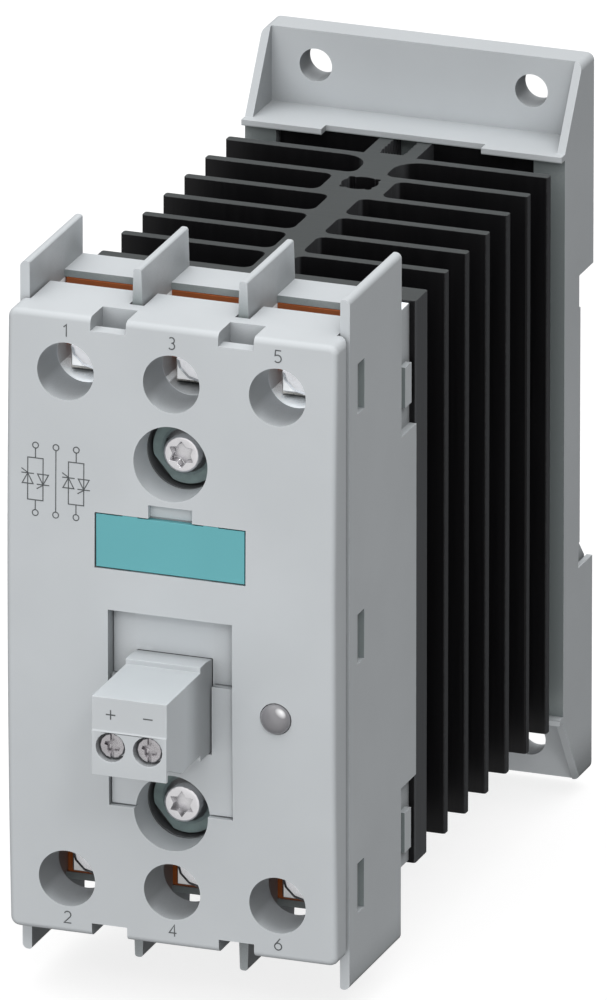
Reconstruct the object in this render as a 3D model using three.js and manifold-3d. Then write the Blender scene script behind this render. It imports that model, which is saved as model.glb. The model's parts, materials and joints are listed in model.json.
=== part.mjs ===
// A three-pole solid state relay on its own heat sink, for a 35 mm DIN rail or for panel screws.
// Millimetres. +X is right and +Z is up as seen from the front, and the front faces -Y.
// The origin is the centre of the seat that rests on the DIN rail, so the relay reaches forward from Y = 0.
import * as THREE from "three";
import { mergeVertices } from "three/addons/utils/BufferGeometryUtils.js";
import Module from "manifold-3d";

const wasm = await Module();
wasm.setup();

// ---------------------------------------------------------------- driving dimensions

const WIDTH = 45;
const HALF_WIDTH = WIDTH / 2;
const POLE_PITCH = 14.46;
const POLES = [-POLE_PITCH, 0, POLE_PITCH];
const FIT_GAP = 0.05; // between faces that rest on each other
const CLEARANCE = 0.3; // between a piece and the pocket it moves or drops into

const COVER = { front: -94.2, bow: 1.0, rear: -89.9, halfHeight: 42.4, skinRear: -91.5, wall: 1.5 };
const TONGUE = { rear: -82.7, thickness: 1.2 };
const TERMINAL_HOLE = { z: 34.75, radius: 3.85, tubeRadius: 4.85, tubeRear: -87.2 };
const WELL = { z: 23.95, radius: 5.05, collarRadius: 6.1, rear: -89.8 };
const LABEL = { width: 20.3, height: 7.2, z: 12.5, thickness: 0.9, recess: 1.25, gap: 0.18 };
const LABEL_RIB = { inner: 4.5, outer: 6.55, rise: 0.13 };
const PRY_NOTCH = { halfWidth: 3, top: 18.1, depth: 1.05 };
const WINDOW = { halfWidth: 8.5, top: 3.2, step: -5.9, bottom: -23.7 };
const WINDOW_FLOOR = { upper: -93.3, lower: -94.2 };
const SOCKET_CUT = { halfWidth: 5.35, top: -1.85, bottom: -15.3 };
const LED = { x: 14.45, z: -8.9, radius: 2.05 };
const LIGHT_GUIDE = { stemRadius: 1.4, stemRear: -87.2, collar: 0.7, collarDepth: 0.85 };
const LENS_DOME = { foot: -95.2, height: 1.1 };
const KEY_NOTCH = { inner: 6.3, outer: 11.15, floor: 39.1, lipTop: 40.6, lip: 2, rear: -89.65, wall: 0.75 };

const BASE = { front: -89.5, fenceRear: -69.95, rear: -64.25, halfHeight: 38.3, fenceHeight: 47.2 };
const BASE_WALL = 1.6;
const CAVITY = { halfHeight: 28.2, rear: -66.4 };
const CHAMBER = { halfWidth: 6.6, bottom: 29.7, top: 40.95, rear: -70.9 };
const SHELF = { front: -76.7, top: 41.9, wallBottom: 37 };
const FENCE_WALL = 1.3;
const FIN = { front: -87.4, rootHalf: 0.72, tipHalf: 0.53, root: 41 };
const SIDE_POCKET = { front: -86.6, rear: -84.0, depth: 0.8, halfLength: 3.4, z: 34.2 };
const WAIST = { depth: 1, top: 22, bottom: -26.3 };
const SNAP_RIB = { inner: 21.3, outer: 22.3, front: -68, rear: -65.6, length: 5.5 };
const SNAP_RIB_BOTTOMS = [25.3, -35.9];
const REAR_WINDOW = { halfWidth: 18.1, halfHeight: 19.5 };
const LEDGE = { inner: 19.4, bottom: 9, top: 13, rear: -66 };
const BOSS = { radius: 4.2, bore: 2.2, front: -87.6 };

const SINK = { front: -64.2, plateRear: -59.6, halfWidth: 22.4, halfLength: 38.7 };
const SINK_FIN = { count: 6, pitch: 7.88, firstRear: -51.4, thickness: 1.4 };
const WEB = { half: 2.1, wideHalf: 4.4, wideGap: 4, tailHalf: 3.65, corner: 1.3, bigCorner: 3.6 };
const WEB_HOLE = { y: -23.5, radius: 2.45 };
const TAIL_SLOT = { half: 1.6, front: -11.4 };
const FOOT = { half: 17.7, front: -5.4, rear: -3.05 };
const SINK_THREAD_REAR = -60.1;

const PLATE = { halfWidth: 22.25, halfHeight: 50, floor: 3, pad: 5, recessTop: 20.9, recessBottom: -19.9 };
const PLATE_WALL = { inner: 17.9, front: -6.3 };
const PLATE_SHELF = { inner: 38.8, outer: 39.6, front: -7.7, middleFront: -6, middleHalf: 11.1 };
const FLANGE = { front: 0.9, holeX: 15, holeZ: 45.2, holeRadius: 2.25 };
const GUSSET = { thickness: 1.1, tipFront: 0.5 };
const RAIL = { halfSeat: 16.4, edgeRelief: 0.5, lipFront: 1.3, lipRear: 2.9, lipReach: 16.5, lipHalf: 20 };

const LATCH = { halfWidth: 21.15, stemHalf: 6, neckHalf: 4, neckRear: 4.6, bottom: -48.6 };
const LATCH_BAR = { bottom: -22.4, rear: 4.9, rampFoot: -19.9, rampTop: -17.7 };
const LATCH_POCKET_BOTTOM = -26.6;
const CHANNEL = { floor: 0.8, lip: 3.1 };
const TOOL_SLOT = { half: 2.2, bottom: -46.6, top: -44.4 };
const SPRING_WINDOW = { half: 2.1, bottom: -40.1 };
const SPRING_STOP = { half: 1.7, front: 0.2, rear: 4.4, bottom: -39.8, top: -38.15 };
const SPRING = { radius: 1.55, wire: 0.25, turns: 6, y: 2.85, top: -28.15, bottom: -37.95 };

const SCREW_AXIS_Z = TERMINAL_HOLE.z;
const CLAMP = { plateFront: -80.15, plateRear: -78.4, plateTop: 39, washerFront: -81.2, washerHalf: 4.2 };
const CLAMP_SCREW = { radius: 2, tip: -74.6, headFront: -84, headRadius: 3.5, slot: 1, cross: 3.6 };
const INSERT = { front: -76.7, wall: 1.5, bottom: 31.7, rib: 1.2 };
const LEAD = { narrowHalf: 3, plateHalf: 4.6, barFront: -74.7, barRear: -73.2, foot: 18, thickness: 1.5 };
const THROUGH_BAR = { inner: 4.65, outer: 6.4 };

const SUBSTRATE = { halfWidth: 17.8, halfHeight: 19.2, front: -65.6, rear: -64.6 };
const CHIP = { half: 3.5, thickness: 0.4, x: 12.5, z: 7 };
const BOARD = { halfWidth: 20.4, halfHeight: 27.6, front: -83.6, rear: -82 };

const CONTROL_PITCH = 5.08;
const PLUG = { halfWidth: 5.12, front: -110.4, rear: -93.4, top: -2.9, bottom: -13.6, screwZ: -9.65 };
const PLUG_FACE = { ridge: -7.45, step: 0.15, apronRear: -109.8 };
const PLUG_BELLY = { front: -12.1, rear: -104.8, bottom: -14.2 };
const PLUG_COLLAR = { front: -97.8, crest: -95.6, top: -2.15, heel: -2.45, bottom: -15.0 };
const PLUG_TAIL = { halfWidth: 4.4, top: -4.6, bottom: -9, rear: -86.8 };
const PLUG_BAY = { screwRadius: 2, screwRear: -107.5, half: 2.25, front: -107.9, rear: -99.9, top: -5.3 };
const PLUG_THROAT = { half: 1.35, front: -104.6, bottom: -8.3 };
const PLUG_SCREW = { front: -109.7, headRadius: 1.8, headRear: -108, radius: 1.05, tip: -104.8 };
const PLUG_DRIVE = { slot: 0.5, slotDepth: 0.5, driverHalf: 0.65, driverDepth: 0.8 };
const CAGE = { front: -105.6, rear: -100.4, half: 1.9, wall: 0.6, endWall: 0.9, bore: 1.15 };
const CONTACT = { half: 1.05, thickness: 0.5, front: -104.2, foot: -12.2, top: -5.6, rear: -87.4 };
const FORK = { root: -92.4, lower: -7.5 };
const PIN = { z: -6.8, half: 0.45, front: -91.9, rear: -81.2 };
const HEADER = { halfWidth: 5.1, top: -2.3, bottom: -15, front: -93.2, floor: -85.2 };
const HEADER_SOCKET = { half: 4.6, top: -4.4, bottom: -9.2 };
const HEADER_RELIEF = { half: 4.2, top: -10, bottom: -14.2 };

// ---------------------------------------------------------------- shape helpers

const FINE = 24; // sides of the round shapes in full view
const ROUND = 20; // sides of the ones partly hidden
const PLAIN = 12; // sides of the others
const FAR = 150; // beyond the part on any side, for cutting tools

// A closed three.js geometry as a manifold-3d solid.
function solid(geometry) {
  const bare = geometry.clone();
  bare.deleteAttribute("normal");
  bare.deleteAttribute("uv");
  const merged = mergeVertices(bare, 1e-4);
  const vertProperties = new Float32Array(merged.attributes.position.array);
  const triVerts = new Uint32Array(merged.index.array);
  return new wasm.Manifold(new wasm.Mesh({ numProp: 3, vertProperties, triVerts }));
}

const join = (...pieces) => pieces.reduce((whole, piece) => whole.add(piece));
const cut = (body, ...tools) => tools.reduce((rest, tool) => rest.subtract(tool), body);

// A box from its low and high corner on each axis.
function block([x0, x1], [y0, y1], [z0, z1]) {
  const box = new THREE.BoxGeometry(x1 - x0, y1 - y0, z1 - z0);
  box.translate((x0 + x1) / 2, (y0 + y1) / 2, (z0 + z1) / 2);
  return solid(box);
}

function extrude(points, length) {
  const shape = new THREE.Shape(points.map(([u, v]) => new THREE.Vector2(u, v)));
  return new THREE.ExtrudeGeometry(shape, { depth: length, bevelEnabled: false });
}

// An outline in (Y, Z) drawn out along X.
function prismX(points, x0, x1) {
  const toX = new THREE.Matrix4().makeBasis(
    new THREE.Vector3(0, 1, 0),
    new THREE.Vector3(0, 0, 1),
    new THREE.Vector3(1, 0, 0),
  );
  return solid(extrude(points, x1 - x0).applyMatrix4(toX).translate(x0, 0, 0));
}

// An outline in (X, Z) drawn out along Y.
function prismY(points, y0, y1) {
  return solid(extrude(points, y1 - y0).rotateX(Math.PI / 2).translate(0, y1, 0));
}

// An outline in (X, Y) drawn out along Z.
function prismZ(points, z0, z1) {
  return solid(extrude(points, z1 - z0).translate(0, 0, z0));
}

// A round bar along Y, from y0 to y1, centred on (x, z).
function rod(radius, [y0, y1], x = 0, z = 0, sides = PLAIN) {
  const bar = new THREE.CylinderGeometry(radius, radius, y1 - y0, sides);
  return solid(bar.translate(x, (y0 + y1) / 2, z));
}

// A turned piece about the Y axis from (radius, y) points, given from its rear to its front.
function turned(profile, sides = PLAIN) {
  const points = profile.map(([r, y]) => new THREE.Vector2(r, -y));
  return solid(new THREE.LatheGeometry(points, sides).rotateX(Math.PI));
}

function arc(cx, cy, radius, fromDegrees, toDegrees, steps) {
  return Array.from({ length: steps + 1 }, (_, i) => {
    const angle = ((fromDegrees + ((toDegrees - fromDegrees) * i) / steps) * Math.PI) / 180;
    return [cx + radius * Math.cos(angle), cy + radius * Math.sin(angle)];
  });
}

const mirrorX = (points) => points.map(([x, y]) => [-x, y]).reverse();
const both = (make) => join(make(1), make(-1));
const span = (a, b) => [Math.min(a, b), Math.max(a, b)];

const MATERIALS = {
  housing: { color: 0xbec4c7, roughness: 0.5, metalness: 0 },
  label: { color: 0x66aaaf, roughness: 0.5, metalness: 0 },
  insulator: { color: 0xa8471a, roughness: 0.55, metalness: 0 },
  anodised: { color: 0x17181a, roughness: 0.45, metalness: 0.6 },
  steel: { color: 0xc8c8cc, roughness: 0.3, metalness: 1 },
  washer: { color: 0x6f7b7a, roughness: 0.35, metalness: 0.9 },
  copper: { color: 0xc9c6bd, roughness: 0.3, metalness: 1 },
  board: { color: 0x1f5b3a, roughness: 0.6, metalness: 0 },
  ceramic: { color: 0xe9e6dc, roughness: 0.6, metalness: 0 },
  silicon: { color: 0x3a3d46, roughness: 0.3, metalness: 0.4 },
  thermal: { color: 0x9a9da6, roughness: 0.9, metalness: 0 },
  black: { color: 0x1c1c1e, roughness: 0.5, metalness: 0 },
  ceramicBlue: { color: 0x2b5f9a, roughness: 0.5, metalness: 0 },
  lens: { color: 0x9a9da0, roughness: 0.2, metalness: 0 },
};
const materials = Object.fromEntries(
  Object.entries(MATERIALS).map(([name, look]) => [name, new THREE.MeshStandardMaterial(look)]),
);

function piece(name, shape, material) {
  const { vertProperties, triVerts } = shape.getMesh();
  const geometry = new THREE.BufferGeometry();
  geometry.setAttribute("position", new THREE.BufferAttribute(vertProperties, 3));
  geometry.setIndex(new THREE.BufferAttribute(triVerts, 1));
  geometry.computeVertexNormals();
  const mesh = new THREE.Mesh(geometry, materials[material]);
  mesh.name = name;
  return mesh;
}

// ---------------------------------------------------------------- heat sink

// The extrusion's right half, from the middle of its front face round to the middle of its rear slot.
function sinkHalfOutline() {
  const lastFin = SINK_FIN.count - 1;
  const points = [
    [0, SINK.front],
    [SINK.halfWidth, SINK.front],
    [SINK.halfWidth, SINK.plateRear],
  ];
  for (let i = 0; i <= lastFin; i += 1) {
    const gapFront = i === 0 ? SINK.plateRear : SINK_FIN.firstRear + (i - 1) * SINK_FIN.pitch;
    const finRear = SINK_FIN.firstRear + i * SINK_FIN.pitch;
    const gapRear = finRear - SINK_FIN.thickness;
    const web = i === WEB.wideGap ? WEB.wideHalf : WEB.half;
    const rearCorner = i === lastFin ? WEB.bigCorner : WEB.corner;
    points.push(
      ...arc(web + WEB.corner, gapFront + WEB.corner, WEB.corner, 270, 180, 3),
      ...arc(web + rearCorner, gapRear - rearCorner, rearCorner, 180, 90, 4),
      [SINK.halfWidth, gapRear],
      [SINK.halfWidth, finRear],
    );
  }
  const finRear = SINK_FIN.firstRear + lastFin * SINK_FIN.pitch;
  points.push(
    [WEB.tailHalf, finRear],
    [WEB.tailHalf, FOOT.front],
    [FOOT.half, FOOT.front],
    [FOOT.half, FOOT.rear],
    [TAIL_SLOT.half, FOOT.rear],
    [TAIL_SLOT.half, TAIL_SLOT.front],
  );
  return points;
}

function heatSink() {
  const half = sinkHalfOutline();
  const outline = [...half, ...mirrorX(half.slice(1))];
  const body = prismZ(outline, -SINK.halfLength, SINK.halfLength);
  const bar = new THREE.CylinderGeometry(WEB_HOLE.radius, WEB_HOLE.radius, 3 * SINK.halfLength, ROUND);
  const webHole = solid(bar.rotateX(Math.PI / 2).translate(0, WEB_HOLE.y, 0));
  const threads = both((side) => rod(BOSS.bore, [SINK.front - 1, SINK_THREAD_REAR], 0, side * WELL.z));
  return cut(body, webHole, threads);
}

// ---------------------------------------------------------------- mounting plate, latch and its spring

// The silhouette of the plate's side cheeks, which run the full height and carry the end gussets.
function cheekProfile() {
  const { pad, halfHeight, recessTop, recessBottom } = PLATE;
  const gussetEnd = (side) => [
    [GUSSET.tipFront, side * halfHeight],
    [PLATE_WALL.front, side * PLATE_SHELF.outer],
  ];
  return [
    [pad, halfHeight],
    ...gussetEnd(1),
    ...gussetEnd(-1).reverse(),
    [pad, -halfHeight],
    [pad, recessBottom],
    [-RAIL.edgeRelief, recessBottom],
    [-RAIL.edgeRelief, -RAIL.halfSeat],
    [0, -RAIL.halfSeat],
    [0, RAIL.halfSeat],
    [-RAIL.edgeRelief, RAIL.halfSeat],
    [-RAIL.edgeRelief, recessTop],
    [pad, recessTop],
  ];
}

function plateEnd(side) {
  const { halfWidth, halfHeight, pad } = PLATE;
  const inside = halfWidth - GUSSET.thickness + FIT_GAP;
  const shelfZ = span(side * PLATE_SHELF.inner, side * PLATE_SHELF.outer);
  const flangeZ = span(side * PLATE_SHELF.inner, side * halfHeight);
  const { middleHalf, middleFront, front } = PLATE_SHELF;
  return join(
    block([-inside, inside], [middleFront, pad], shelfZ),
    block([-halfWidth, -middleHalf], [front, middleFront + 1], shelfZ),
    block([middleHalf, halfWidth], [front, middleFront + 1], shelfZ),
    block([-inside, inside], [FLANGE.front, pad], flangeZ),
  );
}

function mountingPlate() {
  const { halfWidth, pad, floor, recessTop, recessBottom } = PLATE;
  const inside = halfWidth - GUSSET.thickness + FIT_GAP;
  const reach = (PLATE_SHELF.inner + PLATE_SHELF.outer) / 2;
  const cheeks = both((hand) => {
    const x = span(hand * (halfWidth - GUSSET.thickness), hand * halfWidth);
    return prismX(cheekProfile(), x[0], x[1]);
  });
  const sideWalls = both((hand) =>
    block(span(hand * PLATE_WALL.inner, hand * inside), [PLATE_WALL.front, -1], [-reach, reach]),
  );
  const body = join(
    block([-inside, inside], [-floor, 0], [-reach, reach]),
    block([-inside, inside], [-1, pad], [recessTop, reach]),
    block([-inside, inside], [-1, pad], [-reach, recessBottom]),
    block([-RAIL.lipHalf, RAIL.lipHalf], [RAIL.lipFront, RAIL.lipRear], [RAIL.lipReach, recessTop + 1]),
    sideWalls,
    plateEnd(1),
    plateEnd(-1),
  );
  const relief = both((side) => {
    const z = span(side * RAIL.halfSeat, side > 0 ? recessTop : recessBottom);
    return block([-inside - 1, inside + 1], [-RAIL.edgeRelief, RAIL.lipFront], z);
  });
  const barPocket = block(
    [-LATCH.halfWidth - CLEARANCE, LATCH.halfWidth + CLEARANCE],
    [CHANNEL.floor, pad + 1],
    [LATCH_POCKET_BOTTOM, recessBottom + 1],
  );
  const wideHalf = LATCH.stemHalf + CLEARANCE;
  const neckHalf = LATCH.neckHalf + CLEARANCE;
  const channelZ = [-FAR, LATCH_POCKET_BOTTOM + 1];
  const channel = join(
    block([-wideHalf, wideHalf], [CHANNEL.floor, CHANNEL.lip], channelZ),
    block([-neckHalf, neckHalf], [CHANNEL.floor, pad + 1], channelZ),
  );
  const springStop = block(
    [-SPRING_STOP.half, SPRING_STOP.half],
    [SPRING_STOP.front, SPRING_STOP.rear],
    [SPRING_STOP.bottom, SPRING_STOP.top],
  );
  const screws = both((side) => plateScrewHole(side * PLATE_SCREW_Z));
  const panelHoles = both((side) =>
    both((hand) => rod(FLANGE.holeRadius, [-1, pad + 1], hand * FLANGE.holeX, side * FLANGE.holeZ, FINE)),
  );
  return join(cut(join(cut(body, relief), cheeks), barPocket, channel, screws, panelHoles), springStop);
}

// The latch bar hooks over the rail's lower edge, and its stem runs down to the tool slot.
function dinLatch() {
  const { halfWidth, stemHalf, neckHalf, neckRear, bottom } = LATCH;
  const bar = [
    [RAIL.lipFront, LATCH_BAR.bottom],
    [LATCH_BAR.rear, LATCH_BAR.bottom],
    [LATCH_BAR.rear, LATCH_BAR.rampFoot],
    [RAIL.lipRear, LATCH_BAR.rampTop],
    [RAIL.lipRear, -RAIL.lipReach],
    [RAIL.lipFront, -RAIL.lipReach],
  ];
  const hook = prismX(bar, -halfWidth, halfWidth);
  const front = CHANNEL.floor + CLEARANCE;
  const stemZ = [bottom, LATCH_BAR.bottom + 0.4];
  const foot = join(
    block([-stemHalf, stemHalf], [front, CHANNEL.lip - CLEARANCE], stemZ),
    block([-neckHalf, neckHalf], [front, neckRear], stemZ),
  );
  const through = [-FAR, FAR];
  const springZ = [SPRING_WINDOW.bottom, SPRING.top + 0.15];
  const springWindow = block([-SPRING_WINDOW.half, SPRING_WINDOW.half], through, springZ);
  const toolSlot = block([-TOOL_SLOT.half, TOOL_SLOT.half], through, [TOOL_SLOT.bottom, TOOL_SLOT.top]);
  return cut(join(hook, foot), springWindow, toolSlot);
}

class Coil extends THREE.Curve {
  getPoint(t, target = new THREE.Vector3()) {
    const angle = 2 * Math.PI * SPRING.turns * t;
    const low = SPRING.bottom + SPRING.wire;
    const high = SPRING.top - SPRING.wire;
    return target.set(
      SPRING.radius * Math.cos(angle),
      SPRING.y + SPRING.radius * Math.sin(angle),
      low + (high - low) * t,
    );
  }
}

function latchSpring() {
  const section = arc(0, 0, SPRING.wire, 0, 288, 4).map(([u, v]) => new THREE.Vector2(u, v));
  const wire = new THREE.ExtrudeGeometry(new THREE.Shape(section), {
    steps: SPRING.turns * 8,
    bevelEnabled: false,
    extrudePath: new Coil(),
  });
  return solid(wire);
}

const PLATE_SCREW_Z = 12;
const PLATE_SCREW = { radius: 1.45, headRadius: 3, headRear: -0.15, headDepth: 1.7, tip: -10.6 };

// A countersunk self-tapping screw that holds the plate to the heat sink's rear slot.
function plateScrew() {
  const { radius, headRadius, headRear, headDepth, tip } = PLATE_SCREW;
  const body = turned([
    [0, headRear],
    [headRadius, headRear],
    [headRadius, headRear - 0.25],
    [radius, headRear - headDepth],
    [radius, tip + 1],
    [0, tip],
  ]);
  return cut(body, crossRecess(0.7, 3.4, [headRear - 1, headRear + 1]));
}

function plateScrewHole(z) {
  const { radius, headRadius, headDepth } = PLATE_SCREW;
  const gap = 0.15;
  const sink = turned([
    [0, 1],
    [headRadius + gap, 1],
    [headRadius + gap, -0.55],
    [radius + gap, -0.4 - headDepth],
    [radius + gap, -5],
    [0, -5],
  ]);
  return sink.translate([0, 0, z]);
}

// A cross-shaped driver recess centred on the Y axis.
function crossRecess(width, length, depth) {
  const arm = [-length / 2, length / 2];
  const slot = [-width / 2, width / 2];
  return join(block(arm, depth, slot), block(slot, depth, arm));
}

// ---------------------------------------------------------------- base housing

function terminalFences(side) {
  const rise = [side * CHAMBER.bottom, side * BASE.fenceHeight];
  const sideWalls = both((hand) => {
    const x = span(hand * (HALF_WIDTH - FENCE_WALL), hand * HALF_WIDTH);
    return block(x, [BASE.front, BASE.fenceRear], span(...rise));
  });
  const fins = both((hand) => {
    const middle = (hand * POLE_PITCH) / 2;
    const outline = [
      [middle - FIN.rootHalf, side * CHAMBER.bottom],
      [middle + FIN.rootHalf, side * CHAMBER.bottom],
      [middle + FIN.rootHalf, side * FIN.root],
      [middle + FIN.tipHalf, side * BASE.fenceHeight],
      [middle - FIN.tipHalf, side * BASE.fenceHeight],
      [middle - FIN.rootHalf, side * FIN.root],
    ];
    return prismY(side > 0 ? outline : outline.reverse(), FIN.front, BASE.fenceRear);
  });
  const within = [-HALF_WIDTH + 1, HALF_WIDTH - 1];
  const shelf = block(within, [SHELF.front, BASE.fenceRear], span(side * CHAMBER.top, side * SHELF.top));
  const rearWallZ = span(side * SHELF.wallBottom, side * SHELF.top);
  const rearWall = block(within, [CHAMBER.rear, BASE.fenceRear], rearWallZ);
  return join(sideWalls, fins, shelf, rearWall);
}

function baseHousing() {
  const shell = block(
    [-HALF_WIDTH, HALF_WIDTH],
    [BASE.front, BASE.rear],
    [-BASE.halfHeight, BASE.halfHeight],
  );
  const inner = HALF_WIDTH - BASE_WALL;
  const cavity = block(
    [-inner, inner],
    [BASE.front - 1, CAVITY.rear],
    [-CAVITY.halfHeight, CAVITY.halfHeight],
  );
  const chambers = both((side) =>
    join(
      ...POLES.map((x) =>
        block(
          [x - CHAMBER.halfWidth, x + CHAMBER.halfWidth],
          [BASE.front - 1, CHAMBER.rear],
          span(side * CHAMBER.bottom, side * CHAMBER.top),
        ),
      ),
    ),
  );
  const rearSteps = both((hand) => {
    const x = span(hand * (HALF_WIDTH - WAIST.depth), hand * FAR);
    return join(
      block(x, [BASE.fenceRear, 0], [WAIST.top, FAR]),
      block(x, [BASE.fenceRear, 0], [-FAR, WAIST.bottom]),
    );
  });
  const window = block(
    [-REAR_WINDOW.halfWidth, REAR_WINDOW.halfWidth],
    [CAVITY.rear - 1, 0],
    [-REAR_WINDOW.halfHeight, REAR_WINDOW.halfHeight],
  );
  const atWells = (radius, y, sides) => both((side) => rod(radius, y, 0, side * WELL.z, sides));
  const washerRoom = atWells(WELL.radius, [BASE.front - 1, BOSS.front], ROUND);
  const bosses = atWells(BOSS.radius, [BOSS.front, CAVITY.rear + 0.5], ROUND);
  const bossBores = atWells(BOSS.bore, [BOSS.front - 1, 0], PLAIN);
  const snapRibs = both((hand) => {
    const rib = (bottom) =>
      block(
        span(hand * SNAP_RIB.inner, hand * SNAP_RIB.outer),
        [SNAP_RIB.front, SNAP_RIB.rear],
        [bottom, bottom + SNAP_RIB.length],
      );
    return join(...SNAP_RIB_BOTTOMS.map(rib));
  });
  const boardLedges = both((hand) =>
    both((side) =>
      block(
        span(hand * LEDGE.inner, hand * (inner + 0.3)),
        [BOARD.rear + FIT_GAP, LEDGE.rear],
        span(side * LEDGE.bottom, side * LEDGE.top),
      ),
    ),
  );
  const sidePockets = both((hand) => {
    const x = span(hand * (HALF_WIDTH - SIDE_POCKET.depth), hand * FAR);
    const y = [SIDE_POCKET.front, SIDE_POCKET.rear];
    const { z, halfLength } = SIDE_POCKET;
    return join(...[-z, 0, z].map((mid) => block(x, y, [mid - halfLength, mid + halfLength])));
  });
  const leadSlots = both((side) => {
    const z = span(side * (CAVITY.halfHeight - 1), side * (CHAMBER.bottom + 1.3));
    const y = [LEAD.barFront - CLEARANCE, LEAD.barRear + CLEARANCE];
    const outer = LEAD.narrowHalf + CLEARANCE;
    return join(
      block([-POLE_PITCH - outer, -POLE_PITCH + outer], y, z),
      block([POLE_PITCH - outer, POLE_PITCH + outer], y, z),
      block([THROUGH_BAR.inner - CLEARANCE, THROUGH_BAR.outer + CLEARANCE / 2], y, z),
    );
  });
  const tipY = [CHAMBER.rear - 1, CHAMBER.rear + 1];
  const screwTips = both((side) =>
    join(...POLES.map((x) => rod(CLAMP_SCREW.radius + 0.4, tipY, x, side * SCREW_AXIS_Z))),
  );
  const body = cut(shell, cavity, chambers, rearSteps, window, washerRoom);
  const walls = join(body, bosses, boardLedges, snapRibs, terminalFences(1), terminalFences(-1));
  return cut(walls, bossBores, sidePockets, leadSlots, screwTips);
}

// ---------------------------------------------------------------- front cover and what it carries

const frontAt = (z) => COVER.front - COVER.bow * (1 - (z / COVER.halfHeight) ** 2);

function coverShell() {
  const steps = 12;
  const bowed = Array.from({ length: steps + 1 }, (_, i) => {
    const z = COVER.halfHeight * (1 - (2 * i) / steps);
    return [frontAt(z), z];
  });
  const outline = [[COVER.rear, COVER.halfHeight], ...bowed, [COVER.rear, -COVER.halfHeight]];
  const inner = HALF_WIDTH - COVER.wall;
  const innerHeight = COVER.halfHeight - COVER.wall;
  const hollow = block([-inner, inner], [COVER.skinRear, COVER.rear + 1], [-innerHeight, innerHeight]);
  return cut(prismX(outline, -HALF_WIDTH, HALF_WIDTH), hollow);
}

// The roof over the poles, which reaches back between the fences.
function coverRoof(side) {
  const edge = HALF_WIDTH - FENCE_WALL - CLEARANCE;
  const z = span(side * (COVER.halfHeight - TONGUE.thickness), side * COVER.halfHeight);
  const roof = block([-edge, edge], [COVER.skinRear, TONGUE.rear], z);
  const finSlots = both((hand) => {
    const middle = (hand * POLE_PITCH) / 2;
    const half = FIN.rootHalf + CLEARANCE;
    return block([middle - half, middle + half], [FIN.front - CLEARANCE, 0], [-FAR, FAR]);
  });
  return cut(roof, finSlots);
}

function keyNotch(hand, side) {
  const { inner, outer, floor, lipTop, lip, rear } = KEY_NOTCH;
  const x = span(hand * inner, hand * outer);
  const high = side * (COVER.halfHeight + 1);
  return join(
    block(x, [COVER.front + lip, rear], span(side * floor, high)),
    block(x, [COVER.front - 2, COVER.front + lip + 0.1], span(side * lipTop, high)),
  );
}

function notchTray(hand, side) {
  const { inner, outer, floor, rear, wall } = KEY_NOTCH;
  return block(
    span(hand * (inner - wall), hand * (outer + wall)),
    [COVER.skinRear - 0.5, rear + wall],
    span(side * (floor - wall), side * (COVER.halfHeight - 0.5)),
  );
}

function frontCover() {
  const eachCorner = (make) => both((side) => both((hand) => make(hand, side)));
  const tubeY = [COVER.skinRear - 0.5, TERMINAL_HOLE.tubeRear];
  const tubes = both((side) =>
    join(
      ...POLES.map((x) =>
        rod(TERMINAL_HOLE.tubeRadius, tubeY, x, side * TERMINAL_HOLE.z),
      ),
    ),
  );
  const through = [-FAR, TONGUE.rear];
  const holes = both((side) =>
    join(...POLES.map((x) => rod(TERMINAL_HOLE.radius, through, x, side * TERMINAL_HOLE.z, FINE))),
  );
  const collarY = [COVER.skinRear - 0.5, WELL.rear];
  const collars = both((side) => rod(WELL.collarRadius, collarY, 0, side * WELL.z, ROUND));
  const wells = both((side) => rod(WELL.radius, through, 0, side * WELL.z, FINE));
  const labelHalf = LABEL.width / 2 + LABEL.gap;
  const labelRise = LABEL.height / 2 + LABEL.gap;
  const labelFront = frontAt(LABEL.z);
  const labelRecess = block(
    [-labelHalf, labelHalf],
    [-FAR, labelFront + LABEL.recess],
    [LABEL.z - labelRise, LABEL.z + labelRise],
  );
  const pryNotch = block(
    [-PRY_NOTCH.halfWidth, PRY_NOTCH.halfWidth],
    [-FAR, labelFront + PRY_NOTCH.depth],
    [LABEL.z, PRY_NOTCH.top],
  );
  const windowX = [-WINDOW.halfWidth, WINDOW.halfWidth];
  const upperWindow = block(windowX, [-FAR, WINDOW_FLOOR.upper], [WINDOW.step, WINDOW.top]);
  const lowerWindow = block(windowX, [-FAR, WINDOW_FLOOR.lower], [WINDOW.bottom, WINDOW.step + 0.1]);
  const socketX = [-SOCKET_CUT.halfWidth, SOCKET_CUT.halfWidth];
  const socketCut = block(socketX, through, [SOCKET_CUT.bottom, SOCKET_CUT.top]);
  const ledHole = rod(LED.radius + 0.12, through, LED.x, LED.z, ROUND);
  const keyTrays = eachCorner(notchTray);
  const whole = join(coverShell(), coverRoof(1), coverRoof(-1), tubes, collars, keyTrays);
  return cut(
    whole,
    eachCorner(keyNotch),
    holes,
    wells,
    labelRecess,
    pryNotch,
    upperWindow,
    lowerWindow,
    socketCut,
    ledHole,
  );
}

function labelPlate() {
  const front = frontAt(LABEL.z) + 0.1;
  const plate = block(
    [-LABEL.width / 2, LABEL.width / 2],
    [front, front + LABEL.thickness],
    [LABEL.z - LABEL.height / 2, LABEL.z + LABEL.height / 2],
  );
  const ribs = both((hand) =>
    block(
      span(hand * LABEL_RIB.inner, hand * LABEL_RIB.outer),
      [front, front + LABEL.thickness],
      [LABEL.z, LABEL.z + LABEL.height / 2 + LABEL_RIB.rise],
    ),
  );
  return join(plate, ribs);
}

// The curve of a dome that faces the front, from its foot to its tip on the axis.
function domeProfile(radius, foot, height, steps) {
  const curve = arc(0, 0, 1, 0, 90, steps).map(([c, s]) => [radius * c, foot - height * s]);
  curve[steps][0] = 0;
  return curve;
}

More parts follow.
